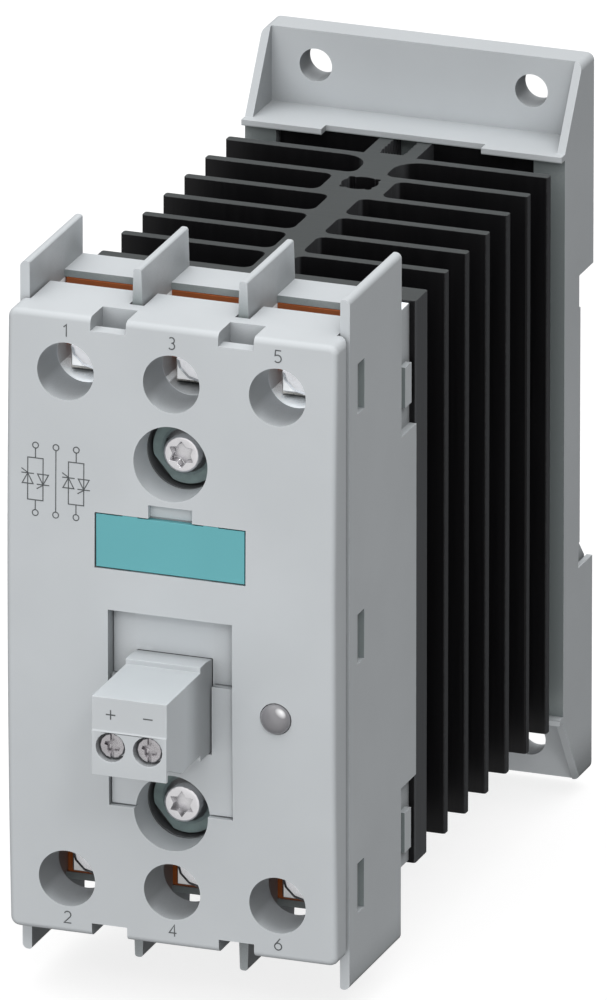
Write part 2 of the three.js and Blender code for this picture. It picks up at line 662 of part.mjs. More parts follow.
function ledLens() {
  const { stemRadius, stemRear, collar, collarDepth } = LIGHT_GUIDE;
  const collarFront = COVER.skinRear + FIT_GAP;
  const collarRear = collarFront + collarDepth;
  const profile = [
    [0, stemRear],
    [stemRadius, stemRear],
    [stemRadius, collarRear],
    [LED.radius + collar, collarRear],
    [LED.radius + collar, collarFront],
    [LED.radius, collarFront],
    ...domeProfile(LED.radius, LENS_DOME.foot, LENS_DOME.height, 4),
  ];
  return turned(profile, ROUND).translate([LED.x, 0, LED.z]);
}

function led() {
  const radius = 1.2;
  const rimRadius = 1.5;
  const rimFront = BOARD.front - 0.85;
  const profile = [
    [0, BOARD.front - FIT_GAP],
    [rimRadius, BOARD.front - FIT_GAP],
    [rimRadius, rimFront],
    [radius, rimFront],
    ...domeProfile(radius, BOARD.front - 1.8, radius, 3),
  ];
  return turned(profile).translate([LED.x, 0, LED.z]);
}

// ---------------------------------------------------------------- mounting screws

const MOUNTING_SCREW = { radius: 1.95, tip: -60.6, headRear: -88.9, headFront: -90.9 };
const SCREW_HEAD = { flareRadius: 3.4, faceRadius: 2.45, starOuter: 1.8, starInner: 1.15, starDepth: 1.4 };
const MOUNTING_WASHER = { radius: 4.6, flat: 4.15, turnDegrees: 40, bore: 2.2 };

// A star-drive screw that clamps the housing to the heat sink.
function mountingScrew() {
  const { radius, tip, headRear, headFront } = MOUNTING_SCREW;
  const { flareRadius, faceRadius, starOuter, starInner, starDepth } = SCREW_HEAD;
  const body = turned(
    [
      [0, tip],
      [radius - 0.45, tip],
      [radius, tip - 0.8],
      [radius, headRear],
      [flareRadius, headRear],
      [flareRadius - 0.4, headRear - 0.9],
      [faceRadius, headFront + 0.15],
      [faceRadius - 0.3, headFront],
      [0, headFront],
    ],
    ROUND,
  );
  const star = Array.from({ length: 12 }, (_, i) => {
    const reach = i % 2 ? starInner : starOuter;
    const angle = (i * Math.PI) / 6;
    return [reach * Math.sin(angle), reach * Math.cos(angle)];
  }).reverse();
  return cut(body, prismY(star, headFront - 1, headFront + starDepth));
}

function mountingWasher() {
  const { radius, flat, turnDegrees, bore } = MOUNTING_WASHER;
  const disc = rod(radius, [MOUNTING_SCREW.headRear + FIT_GAP, BOSS.front - FIT_GAP], 0, 0, FINE);
  const flats = both((hand) => block(span(hand * flat, hand * FAR), [-FAR, 0], [-FAR, FAR]));
  return cut(disc, flats.rotate([0, -turnDegrees, 0]), rod(bore, [-FAR, 0]));
}

// ---------------------------------------------------------------- power terminals, for a top pole at X = 0

function terminalWasher() {
  const { washerFront, washerHalf, plateFront } = CLAMP;
  const z = [SCREW_AXIS_Z - washerHalf, SCREW_AXIS_Z + washerHalf];
  const plate = block([-washerHalf, washerHalf], [washerFront, plateFront - FIT_GAP], z);
  return cut(plate, rod(CLAMP_SCREW.radius + 0.2, [-FAR, 0], 0, SCREW_AXIS_Z));
}

function terminalScrew() {
  const { radius, tip, headFront, headRadius, slot, cross } = CLAMP_SCREW;
  const rear = CLAMP.washerFront - FIT_GAP;
  const body = turned(
    [
      [0, tip],
      [radius - 0.5, tip],
      [radius, tip - 0.6],
      [radius, rear],
      [headRadius, rear],
      [headRadius, headFront + 0.4],
      [headRadius - 0.5, headFront],
      [0, headFront],
    ],
    PLAIN,
  );
  const slotCut = block([-FAR, FAR], [-FAR, headFront + 0.7], [-slot / 2, slot / 2]);
  const crossCut = crossRecess(slot, cross, [headFront - 1, headFront + 1.5]);
  return cut(body, slotCut, crossCut).translate([0, 0, SCREW_AXIS_Z]);
}

// The wall of insulating plastic behind the conductor entry, with ribs that stand on the housing.
function terminalInsert() {
  const fit = 2 * FIT_GAP;
  const half = CHAMBER.halfWidth - fit;
  const z = [INSERT.bottom, CHAMBER.top - fit];
  const wall = block([-half, half], [INSERT.front, INSERT.front + INSERT.wall], z);
  const ribs = both((hand) => {
    const x = span(hand * (half - INSERT.rib), hand * half);
    return block(x, [INSERT.front + 1, CHAMBER.rear - fit], z);
  });
  return cut(join(wall, ribs), rod(CLAMP_SCREW.radius + 0.4, [-FAR, 0], 0, SCREW_AXIS_Z));
}

const CLAMP_LOW = CHAMBER.bottom + 0.2;
const threadHole = () => rod(CLAMP_SCREW.radius + 0.12, [-FAR, 0], 0, SCREW_AXIS_Z);

function clampPlate() {
  const y = [CLAMP.plateFront, CLAMP.plateRear];
  return block([-LEAD.plateHalf, LEAD.plateHalf], y, [CLAMP_LOW, CLAMP.plateTop]);
}

// The clamp plate, a run to the rear, a drop through the partition and a foot on the substrate.
function terminalLead() {
  const low = CLAMP_LOW;
  const run = [
    [CLAMP.plateRear - 0.5, low],
    [LEAD.barFront, low],
    [LEAD.barFront, LEAD.foot - LEAD.thickness],
    [SUBSTRATE.front - FIT_GAP, LEAD.foot - LEAD.thickness],
    [SUBSTRATE.front - FIT_GAP, LEAD.foot],
    [LEAD.barRear, LEAD.foot],
    [LEAD.barRear, low + LEAD.thickness],
    [CLAMP.plateRear - 0.5, low + LEAD.thickness],
  ];
  return cut(join(clampPlate(), prismX(run, -LEAD.narrowHalf, LEAD.narrowHalf)), threadHole());
}

// The middle pole isn't switched, so one bar joins its two clamp plates.
function throughBar() {
  const { inner, outer } = THROUGH_BAR;
  const armY = [CLAMP.plateRear - 0.5, LEAD.barRear];
  const arm = block([-LEAD.plateHalf, outer], armY, [CLAMP_LOW, CLAMP_LOW + LEAD.thickness]);
  const end = join(cut(clampPlate(), threadHole()), arm);
  const reach = CLAMP_LOW + 0.5;
  const bar = block([inner, outer], [LEAD.barFront, LEAD.barRear], [-reach, reach]);
  return join(end, end.mirror([0, 0, 1]), bar);
}

// ---------------------------------------------------------------- power stage and control board

function controlBoard() {
  const { halfWidth, halfHeight, front, rear } = BOARD;
  const board = block([-halfWidth, halfWidth], [front, rear], [-halfHeight, halfHeight]);
  const through = [-FAR, 0];
  const bossHoles = both((side) => rod(BOSS.radius + CLEARANCE, through, 0, side * WELL.z, ROUND));
  const pinHoles = both((hand) => rod(0.75, through, (hand * CONTROL_PITCH) / 2, PIN.z, 8));
  return cut(board, bossHoles, pinHoles);
}

function onBoard(x, z, width, height, depth) {
  const y = [BOARD.front - FIT_GAP - depth, BOARD.front - FIT_GAP];
  return block([x - width / 2, x + width / 2], y, [z - height / 2, z + height / 2]);
}

// ---------------------------------------------------------------- control plug and its socket

// The plug's side view: collar at the rear, a proud lower front and a belly cut back behind its apron.
function plugOutline() {
  const { front, rear, top, bottom } = PLUG;
  const { ridge, step, apronRear } = PLUG_FACE;
  return [
    [rear, PLUG_COLLAR.bottom],
    [rear, PLUG_COLLAR.heel],
    [PLUG_COLLAR.crest, PLUG_COLLAR.top],
    [PLUG_COLLAR.front, PLUG_COLLAR.top],
    [PLUG_COLLAR.front, top],
    [front + step, top],
    [front + step, ridge],
    [front, ridge - 0.1],
    [front, bottom],
    [apronRear, bottom],
    [apronRear, PLUG_BELLY.front],
    [PLUG_BELLY.rear, PLUG_BELLY.bottom],
    [PLUG_COLLAR.front, PLUG_BELLY.bottom],
    [PLUG_COLLAR.front, PLUG_COLLAR.bottom],
  ].reverse();
}

function plugHousing() {
  const tail = block(
    [-PLUG_TAIL.halfWidth, PLUG_TAIL.halfWidth],
    [PLUG.rear - 0.5, PLUG_TAIL.rear],
    [PLUG_TAIL.bottom, PLUG_TAIL.top],
  );
  const bays = both((hand) => {
    const x = (hand * CONTROL_PITCH) / 2;
    const { screwRadius, screwRear, half, front, rear, top } = PLUG_BAY;
    const throat = PLUG_THROAT;
    return join(
      rod(screwRadius, [PLUG.front - 1, screwRear], x, PLUG.screwZ, ROUND),
      block([x - half, x + half], [front, rear], [-FAR, top]),
      block([x - throat.half, x + throat.half], [throat.front, PLUG_TAIL.rear + 1], [throat.bottom, top]),
    );
  });
  return cut(join(prismX(plugOutline(), -PLUG.halfWidth, PLUG.halfWidth), tail), bays);
}

function plugScrew() {
  const { front, headRadius, headRear, radius, tip } = PLUG_SCREW;
  const { slot, slotDepth, driverHalf, driverDepth } = PLUG_DRIVE;
  const body = turned([
    [0, tip],
    [radius - 0.25, tip],
    [radius, tip - 0.3],
    [radius, headRear],
    [headRadius, headRear],
    [headRadius, front + 0.2],
    [headRadius - 0.2, front],
    [0, front],
  ]);
  const slotCut = block([-slot / 2, slot / 2], [-FAR, front + slotDepth], [-FAR, FAR]);
  const driver = block([-driverHalf, driverHalf], [-FAR, front + driverDepth], [-driverHalf, driverHalf]);
  return cut(body, slotCut, driver).translate([0, 0, PLUG.screwZ]);
}

// The lifting cage that pulls the wire against the contact bar, open above and below.
function clampCage() {
  const { front, rear, half, wall, endWall, bore } = CAGE;
  const outer = block([-half, half], [front, rear], [-half, half]);
  const room = block([-half + wall, half - wall], [front + endWall, rear - endWall], [-FAR, FAR]);
  const thread = rod(bore, [front - 1, front + 2]);
  return cut(outer, room, thread).translate([0, 0, PLUG.screwZ]);
}

// A bent strip: a bar in front for the wire, and a fork behind that takes the header pin.
function plugContact() {
  const { half, thickness, front, foot, top, rear } = CONTACT;
  const outline = [
    [front, foot],
    [front, top],
    [rear, top],
    [rear, top - thickness],
    [FORK.root, top - thickness],
    [FORK.root, FORK.lower],
    [rear, FORK.lower],
    [rear, FORK.lower - thickness],
    [FORK.root - thickness, FORK.lower - thickness],
    [FORK.root - thickness, top - thickness],
    [front + thickness, top - thickness],
    [front + thickness, foot],
  ].reverse();
  return prismX(outline, -half, half);
}

function controlHeader() {
  const { halfWidth, top, bottom, front, floor } = HEADER;
  const body = block([-halfWidth, halfWidth], [front, BOARD.front - FIT_GAP], [bottom, top]);
  const pocket = ({ half, top: high, bottom: low }) => block([-half, half], [-FAR, floor], [low, high]);
  const pinHoles = both((hand) => {
    const x = (hand * CONTROL_PITCH) / 2;
    const half = PIN.half + FIT_GAP;
    return block([x - half, x + half], [-FAR, 0], [PIN.z - half, PIN.z + half]);
  });
  return cut(body, pocket(HEADER_SOCKET), pocket(HEADER_RELIEF), pinHoles);
}

const headerPin = () =>
  block([-PIN.half, PIN.half], [PIN.front, PIN.rear], [PIN.z - PIN.half, PIN.z + PIN.half]);

// ---------------------------------------------------------------- assembly

const relay = new THREE.Group();

function add(name, shape, material, x = 0, z = 0, parent = relay) {
  const mesh = piece(name, shape, material);
  mesh.position.set(x, 0, z);
  parent.add(mesh);
}

add("heat_sink", heatSink(), "anodised");
add("mounting_plate", mountingPlate(), "housing");
add("din_latch", dinLatch(), "housing");
add("latch_spring", latchSpring(), "steel");
add("plate_screw_upper", plateScrew(), "steel", 0, PLATE_SCREW_Z);
add("plate_screw_lower", plateScrew(), "steel", 0, -PLATE_SCREW_Z);
add("base_housing", baseHousing(), "housing");
add("front_cover", frontCover(), "housing");
add("label_plate", labelPlate(), "label");
add("led_lens", ledLens(), "lens");
add("led", led(), "lens");
for (const [end, side] of [["upper", 1], ["lower", -1]]) {
  add(`mounting_screw_${end}`, mountingScrew(), "steel", 0, side * WELL.z);
  add(`mounting_washer_${end}`, mountingWasher(), "washer", 0, side * WELL.z);
}

const wafer = (half, y, halfHeight) => block([-half, half], y, [-halfHeight, halfHeight]);
const { halfWidth: padHalf, halfHeight: padRise, front: padFront, rear: padRear } = SUBSTRATE;
add("thermal_pad", wafer(padHalf, [padRear + FIT_GAP, SINK.front - FIT_GAP], padRise), "thermal");
add("ceramic_substrate", wafer(padHalf, [padFront, padRear], padRise), "ceramic");

const chipRear = padFront - FIT_GAP;
[-CHIP.x, CHIP.x].forEach((x, column) => {
  [CHIP.z, -CHIP.z].forEach((z, row) => {
    const chip = wafer(CHIP.half, [chipRear - CHIP.thickness, chipRear], CHIP.half);
    add(`thyristor_chip_${2 * column + row + 1}`, chip, "silicon", x, z);
  });
});

add("control_board", controlBoard(), "board");
add("optocoupler_left", onBoard(-12, -9, 4.6, 6.5, 3.2), "black");
add("optocoupler_right", onBoard(12, 2, 4.6, 6.5, 3.2), "black");
add("snubber_left", onBoard(-12.5, 14, 9.5, 4.2, 4.6), "ceramicBlue");
add("snubber_right", onBoard(12.5, 14, 9.5, 4.2, 4.6), "ceramicBlue");

// Upper terminals are 1, 3 and 5, and lower ones 2, 4 and 6, from left to right.
for (const [row, turn] of [[0, 0], [1, Math.PI]]) {
  POLES.forEach((x, pole) => {
    const number = 2 * pole + 1 + row;
    const terminal = new THREE.Group();
    terminal.position.x = x;
    terminal.rotation.y = turn;
    relay.add(terminal);
    add(`terminal_screw_${number}`, terminalScrew(), "steel", 0, 0, terminal);
    add(`terminal_washer_${number}`, terminalWasher(), "steel", 0, 0, terminal);
    add(`terminal_insert_${number}`, terminalInsert(), "insulator", 0, 0, terminal);
    if (x !== 0) add(`terminal_lead_${number}`, terminalLead(), "copper", 0, 0, terminal);
  });
}
add("through_bar", throughBar(), "copper");

add("plug_housing", plugHousing(), "housing");
for (const [end, hand] of [["left", -1], ["right", 1]]) {
  const x = (hand * CONTROL_PITCH) / 2;
  add(`plug_screw_${end}`, plugScrew(), "steel", x);
  add(`plug_clamp_${end}`, clampCage(), "steel", x);
  add(`plug_contact_${end}`, plugContact(), "copper", x);
  add(`header_pin_${end}`, headerPin(), "copper", x);
}
add("control_header", controlHeader(), "black");

export default relay;
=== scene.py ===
import json
import math

import bmesh
import bpy
from mathutils import Matrix, Vector


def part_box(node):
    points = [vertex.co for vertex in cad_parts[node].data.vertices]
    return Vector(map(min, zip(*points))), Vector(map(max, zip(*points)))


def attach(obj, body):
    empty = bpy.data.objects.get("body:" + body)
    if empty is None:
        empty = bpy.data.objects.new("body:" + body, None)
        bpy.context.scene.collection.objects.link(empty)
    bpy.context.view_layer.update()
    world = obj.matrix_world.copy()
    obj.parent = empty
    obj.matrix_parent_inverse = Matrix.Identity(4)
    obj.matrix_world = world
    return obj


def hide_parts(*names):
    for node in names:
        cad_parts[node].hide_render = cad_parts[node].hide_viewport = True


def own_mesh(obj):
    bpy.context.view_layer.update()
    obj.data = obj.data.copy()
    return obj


# The looks of a solid state relay on its heat sink. Shapes are built in millimetres, in the row frame
# (+X right, +Z up, the front faces -Y), and scaled to metres when a piece is finished.

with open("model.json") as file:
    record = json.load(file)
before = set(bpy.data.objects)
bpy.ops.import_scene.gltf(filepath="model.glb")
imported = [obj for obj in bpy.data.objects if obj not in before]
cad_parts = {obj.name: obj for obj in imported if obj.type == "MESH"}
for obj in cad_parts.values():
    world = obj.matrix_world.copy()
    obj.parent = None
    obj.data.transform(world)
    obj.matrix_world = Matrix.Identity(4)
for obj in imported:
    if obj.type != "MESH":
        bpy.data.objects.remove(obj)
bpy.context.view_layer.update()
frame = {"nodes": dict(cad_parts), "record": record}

MM = 0.001
NEAR = 0.01  # corners closer than this to a face lie on it
scene = bpy.context.scene

# ---------------------------------------------------------------- sizes that several pieces share

COVER = {"front": -94.2, "bow": 1.0, "half_height": 42.4}
CUT_THROUGH = (-100, -80)  # from before the front to behind the cover, for cutting tools
TERMINALS = range(1, 7)
MOUNTING_SCREWS = ("mounting_screw_upper", "mounting_screw_lower")
WELL = {"radius": 5.07, "floor": -87.6, "bore": 2.2}
WELL_CUP = {"radius": 6.0, "front": -89.45, "rear": -86.8}
SINK_PLATE_REAR = -59.6
PLATE_SHELF = 38.8  # how far the mounting plate's shelves lie above and below the middle

# Where the plastic's painted shade and painted light change, as limits between which they fade.
PAINTED_SHADOW_DEPTH = (-89.4, -88.8)
WELL_DEPTH = (-89.9, -89.4)
WELL_STRIP = {"X": (5.2, 5.6), "Z": (29.6, 30.0)}
CHAMBER = {"front": (-87.4, -87.0), "side": (21.4, 21.3), "bottom": (29.2, 29.3), "top": (40.9, 40.8)}


def box(node):
    """The lowest and highest corner of a CAD node, in millimetres."""
    low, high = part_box(node)
    return low / MM, high / MM


def middle(node):
    low, high = box(node)
    return (low + high) / 2


# ---------------------------------------------------------------- node materials


def add_node(tree, kind, inputs=None, **settings):
    """A node with its settings, and with a value or another node's output on each input named."""
    made = tree.nodes.new(kind)
    for key, value in settings.items():
        setattr(made, key, value)
    for key, value in (inputs or {}).items():
        if isinstance(value, bpy.types.NodeSocket):
            tree.links.new(value, made.inputs[key])
        else:
            made.inputs[key].default_value = value
    return made


class Look:
    """A procedural material. Its methods add nodes and return the output socket to use."""

    def __init__(self, name):
        self.material = bpy.data.materials.new(name)
        self.material.use_nodes = True
        self.tree = self.material.node_tree
        self.tree.nodes.clear()
        self.place = self.node("ShaderNodeTexCoord").outputs["Object"]

    def node(self, kind, inputs=None, **settings):
        return add_node(self.tree, kind, inputs, **settings)

    def maths(self, operation, first, second=0.0, clamp=False):
        made = self.node("ShaderNodeMath", {0: first, 1: second}, operation=operation, use_clamp=clamp)
        return made.outputs[0]

    def multiply(self, first, second):
        return self.maths("MULTIPLY", first, second)

    def at(self, axis):
        """Where the point lies along an axis, in metres."""
        return self.node("ShaderNodeSeparateXYZ", {0: self.place}).outputs[axis]

    def facing(self, axis):
        """How far the surface faces along an axis, from -1 to 1."""
        normal = self.node("ShaderNodeNewGeometry").outputs["Normal"]
        return self.node("ShaderNodeSeparateXYZ", {0: normal}).outputs[axis]

    def noise(self, size_mm, detail=2.0, stretch=(1, 1, 1)):
        """Noise whose features are about size_mm across, longer along an axis with a stretch below 1."""
        scale = [s / (size_mm * MM) for s in stretch]
        place = self.node("ShaderNodeMapping", {"Vector": self.place, "Scale": scale}).outputs[0]
        made = self.node("ShaderNodeTexNoise", {"Vector": place, "Scale": 1.0, "Detail": detail})
        return made.outputs[0]

    def remap(self, value, low, high, to_low=0.0, to_high=1.0):
        keys = {"Value": value, "From Min": low, "From Max": high, "To Min": to_low, "To Max": to_high}
        return self.node("ShaderNodeMapRange", keys).outputs[0]

    def fade(self, distance, low_mm, high_mm, to_low=0.0, to_high=1.0):
        """A remap whose limits are in millimetres."""
        return self.remap(distance, low_mm * MM, high_mm * MM, to_low, to_high)

    def mix(self, factor, first, second):
        made = self.node("ShaderNodeMix", data_type="RGBA")
        for index, value in ((0, factor), (6, first), (7, second)):
            if isinstance(value, bpy.types.NodeSocket):
                self.tree.links.new(value, made.inputs[index])
            else:
                made.inputs[index].default_value = value if index == 0 else (*value, 1)
        return made.outputs[2]

    def edges(self, radius_mm):
        """1 on sharp edges, 0 on flat ground."""
        rounded = self.node("ShaderNodeBevel", {"Radius": radius_mm * MM}, samples=3).outputs[0]
        flat = self.node("ShaderNodeNewGeometry").outputs["Normal"]
        dot = self.node("ShaderNodeVectorMath", {0: rounded, 1: flat}, operation="DOT_PRODUCT")
        return self.remap(dot.outputs["Value"], 0.995, 0.85)

    def crevices(self, distance_mm):
        """1 deep in a corner, 0 in the open."""
        made = self.node("ShaderNodeAmbientOcclusion", {"Distance": distance_mm * MM}, samples=3)
        return self.remap(made.outputs["AO"], 0.75, 0.2)

    def bump(self, height, strength, depth_mm, normal=None):
        keys = {"Height": height, "Strength": strength, "Distance": depth_mm * MM}
        if normal is not None:
            keys["Normal"] = normal
        return self.node("ShaderNodeBump", keys).outputs[0]

    def finish(self, **inputs):
        keys = {key.replace("_", " ").title().replace("Ior", "IOR"): v for key, v in inputs.items()}
        surface = self.node("ShaderNodeBsdfPrincipled", keys).outputs[0]
        self.node("ShaderNodeOutputMaterial", {"Surface": surface})
        return self.material


def shade(colour, factor):
    return tuple(min(1.0, c * factor) for c in colour)


IN_WELL = 0.2  # the share of the painted shade that is left in the wells


def outside_wells(look):
    """0.2 in the strip that holds the wells of the mounting screws, 1 elsewhere."""
    beyond = []
    for axis, limits in WELL_STRIP.items():
        away = look.maths("ABSOLUTE", look.at(axis))
        beyond.append(look.fade(away, *limits, IN_WELL, 1))
    return look.maths("MAXIMUM", *beyond)


def in_chambers(look):
    """1 inside the upper terminal chambers, which get painted light as if through their wire entries.

    The region has no rear limit, so the ledge of the base housing behind the fences is in it too.
    """
    across = look.maths("ABSOLUTE", look.at("X"))
    inside = look.multiply(look.fade(look.at("Y"), *CHAMBER["front"]), look.fade(across, *CHAMBER["side"]))
    height = look.at("Z")
    level = look.multiply(look.fade(height, *CHAMBER["bottom"]), look.fade(height, *CHAMBER["top"]))
    return look.multiply(inside, level)


def sunk_fronts(look, hidden, within):
    """Painted shadow: 1 on front faces that lie behind others, and with within only up to that height from
    the middle.
    """
    open_sky, shut = (0.97, 0.74) if within else (0.84, 0.58)
    sunk = look.multiply(look.remap(hidden, open_sky, shut), look.remap(look.facing("Y"), -0.6, -0.9))
    sunk = look.multiply(sunk, look.fade(look.at("Y"), *PAINTED_SHADOW_DEPTH))
    if within:
        height = look.maths("ABSOLUTE", look.at("Z"))
        sunk = look.multiply(sunk, look.fade(height, within + 0.2, within))
    return sunk


def close_sides(look, hidden):
    """Painted shade: 1 on side faces that stand close to others, 0.75 on any face deep in a hollow."""
    across = look.maths("ABSOLUTE", look.facing("X"))
    beside = look.multiply(look.remap(hidden, 0.97, 0.72), look.remap(across, 0.6, 0.9))
    deep = look.remap(hidden, 0.6, 0.3, 0, 0.75)
    return look.maths("MAXIMUM", beside, deep)


def moulded_plastic(
    name,
    colour,
    roughness=0.5,
    grain=0.12,
    wear_and_highlight=0.5,
    corner_darkness=0.35,
    painted_shadow_within=None,
    glow=0.0,
    bright_wells=False,
):
    """Spark-eroded mould texture, faint clouding, paler worn edges with a painted highlight, darker corners.

    Sunk and enclosed faces carry painted shade. With bright_wells the walls of the mounting wells keep little
    of it down to a painted shadow at their dark foot, and the upper terminal chambers glow a little as
    painted light.
    """
    look = Look(name)
    cloud = look.remap(look.noise(14, 3), 0.3, 0.7)
    tone = look.mix(cloud, shade(colour, 0.975), shade(colour, 1.025))
    patches = look.remap(look.noise(2.2, 3), 0.4, 0.65)
    # Paler edges: partly worn, partly a painted highlight.
    rubbed_and_highlit = look.multiply(look.multiply(look.edges(0.35), patches), wear_and_highlight)
    tone = look.mix(rubbed_and_highlit, tone, shade(colour, 1.3))
    # Darker in the corners that the occlusion test finds within 1.6 mm.
    darker_corners = look.multiply(look.crevices(1.6), corner_darkness)
    tone = look.mix(darker_corners, tone, shade(colour, 0.55))
    hidden = look.node("ShaderNodeAmbientOcclusion", {"Distance": 9 * MM}, samples=8).outputs["AO"]
    # Painted shadow, a dark greenish grey, on front faces that lie behind others.
    sunk = sunk_fronts(look, hidden, painted_shadow_within)
    painted_shadow_tone = tuple(c * f for c, f in zip(colour, (0.38, 0.41, 0.4)))
    tone = look.mix(sunk, tone, painted_shadow_tone)
    # Painted shade on side faces close to others and in deep hollows.
    shaded = close_sides(look, hidden)
    if bright_wells:
        outside = outside_wells(look)
        shaded = look.multiply(shaded, outside)
        # A painted dark shadow at the foot of the mounting wells.
        foot = look.multiply(look.remap(outside, 1, IN_WELL), look.fade(look.at("Y"), *WELL_DEPTH))
        tone = look.mix(foot, tone, shade(colour, 0.1))
        # Painted light: the upward faces in the upper terminal chambers glow, and less painted shade lies
        # there.
        chamber = in_chambers(look)
        shaded = look.multiply(shaded, look.remap(chamber, 0, 1, 1, 0.2))
        upward = look.remap(look.facing("Z"), 0, 0.9, 0.3, 1.3)
        painted_daylight = look.multiply(look.remap(hidden, 0.14, 0.32), upward)
        glow = look.multiply(chamber, painted_daylight)
    # Painted shade, less where the painted shadow already lies, mixed into the colour.
    shaded = look.maths("SUBTRACT", shaded, sunk, clamp=True)
    tone = look.mix(shaded, tone, shade(colour, 0.5))
    fine = look.noise(grain, 2)
    sheen = look.remap(fine, 0.3, 0.7, roughness - 0.07, roughness + 0.09)
    normal = look.bump(fine, 0.25, 0.012)
    normal = look.bump(look.noise(9, 2), 0.12, 0.1, normal)
    return look.finish(
        base_color=tone, roughness=sheen, normal=normal, emission_color=tone, emission_strength=glow
    )


def anodised(name):
    """Black anodised extrusion with die lines along its length.

    Its sawn ends are grey, its base plate is machined, and its edges are worn.
    """
    look = Look(name)
    lines = look.noise(0.16, 2, stretch=(1, 1, 0.012))
    saw = look.noise(0.22, 3, stretch=(0.02, 1, 1))
    broad = look.remap(look.noise(1.3, 2, stretch=(1, 1, 0.02)), 0.3, 0.7)
    coat = look.mix(broad, (0.0032, 0.003, 0.0038), (0.0048, 0.0046, 0.0055))
    sawn = look.remap(look.maths("ABSOLUTE", look.facing("Z")), 0.5, 0.8)
    ends = look.mix(look.remap(saw, 0.3, 0.7), (0.05, 0.057, 0.058), (0.066, 0.073, 0.074))
    base = look.fade(look.at("Y"), SINK_PLATE_REAR + 0.4, SINK_PLATE_REAR - 0.1)
    machined = look.mix(base, (0.06, 0.062, 0.066), (0.098, 0.102, 0.108))
    sideways = look.remap(look.maths("ABSOLUTE", look.facing("X")), 0.6, 0.8)
    tone = look.mix(sideways, coat, machined)
    tone = look.mix(sawn, tone, ends)
    specks = look.remap(look.noise(0.5, 4), 0.38, 0.62)
    worn = look.multiply(look.multiply(look.edges(0.2), specks), 0.45)
    tone = look.mix(worn, tone, (0.15, 0.155, 0.16))
    sheen = look.mix(sawn, look.remap(lines, 0.3, 0.7, 0.38, 0.52), (0.62, 0.62, 0.62))
    height = look.mix(sawn, lines, saw)
    shine = look.mix(sawn, (0.3, 0.3, 0.3), (0.5, 0.5, 0.5))
    normal = look.bump(height, 0.3, 0.015)
    return look.finish(base_color=tone, roughness=sheen, specular_ior_level=shine, normal=normal)


def metal(
    name, colour, roughness=0.25, line_mm=0.08, stretch=(1, 1, 1), tarnish=0.5, studio=0.0, corner_shade_mm=0.5
):
    """Plated or brushed metal: fine tool lines, dull patches and painted shade in the corners.

    With studio, a share of a painted reflection of the front and top light glows even deep in a hole.
    """
    look = Look(name)
    lines = look.noise(line_mm, 3, stretch)
    dull = look.remap(look.noise(1.8, 4), 0.45, 0.7)
    tone = look.mix(look.multiply(dull, tarnish), colour, shade(colour, 0.7))
    # Painted shade in corners and recesses.
    corners = look.multiply(look.crevices(corner_shade_mm), 0.5 + 0.2 * corner_shade_mm)
    tone = look.mix(corners, tone, shade(colour, 0.3))
    sheen = look.remap(lines, 0.3, 0.7, roughness * 0.75, roughness * 1.35)
    # Painted reflection: emission where the reflection points to the front or the top light.
    way = look.node("ShaderNodeTexCoord").outputs["Reflection"]
    mirrored = look.node("ShaderNodeSeparateXYZ", {0: way})
    ahead = look.remap(mirrored.outputs["Y"], -0.55, -0.95)
    above = look.remap(mirrored.outputs["Z"], 0.1, 0.8)
    painted_reflection = look.maths("MAXIMUM", ahead, above)
    return look.finish(
        base_color=tone,
        metallic=1.0,
        roughness=sheen,
        normal=look.bump(lines, 0.35, 0.01),
        emission_color=tone,
        emission_strength=look.multiply(painted_reflection, studio),
    )


def gloss(name, colour, roughness=0.18, mottle_mm=3.0, **extra):
    """Dipped, glazed or lacquered coating with a slight orange peel."""
    look = Look(name)
    mottle = look.remap(look.noise(mottle_mm, 3), 0.3, 0.7)
    tone = look.mix(mottle, shade(colour, 0.88), shade(colour, 1.1))
    peel = look.noise(0.6, 2)
    sheen = look.remap(peel, 0.3, 0.7, roughness * 0.8, roughness * 1.3)
    return look.finish(base_color=tone, roughness=sheen, normal=look.bump(peel, 0.15, 0.02), **extra)


TO_SPARKLE = (0.42, -0.72, 0.55)  # from the relay towards the small bright light


def light_guide(name):
    """Smoked, polished plastic with a painted highlight where it would mirror the small bright light."""
    look = Look(name)
    mottle = look.remap(look.noise(2.0, 3), 0.3, 0.7)
    tone = look.mix(mottle, (0.27, 0.265, 0.28), (0.31, 0.305, 0.32))
    # A painted highlight where the reflection points at the small bright light.
    mirrored = look.node("ShaderNodeTexCoord").outputs["Reflection"]
    window = look.node("ShaderNodeVectorMath", {0: mirrored, 1: TO_SPARKLE}, operation="DOT_PRODUCT")
    painted_glint = look.remap(window.outputs["Value"], 0.8, 0.995)
    peel = look.noise(0.6, 2)
    return look.finish(
        base_color=tone,
        roughness=look.remap(peel, 0.3, 0.7, 0.08, 0.14),
        normal=look.bump(peel, 0.1, 0.02),
        coat_weight=0.6,
        emission_color=(1, 1, 1, 1),
        emission_strength=look.multiply(painted_glint, 0.6),
    )


def circuit_board(name):
    """Dark green solder mask, crossed by paler lines like tracks."""
    look = Look(name)
    keys = {"Vector": look.place, "Scale": 420.0}
    cells = look.node("ShaderNodeTexVoronoi", keys, feature="DISTANCE_TO_EDGE")
    field = look.remap(cells.outputs[0], 0.06, 0.1)
    tone = look.mix(field, (0.015, 0.16, 0.07), (0.008, 0.085, 0.04))
    return look.finish(base_color=tone, roughness=0.32, normal=look.bump(field, 0.2, 0.03))


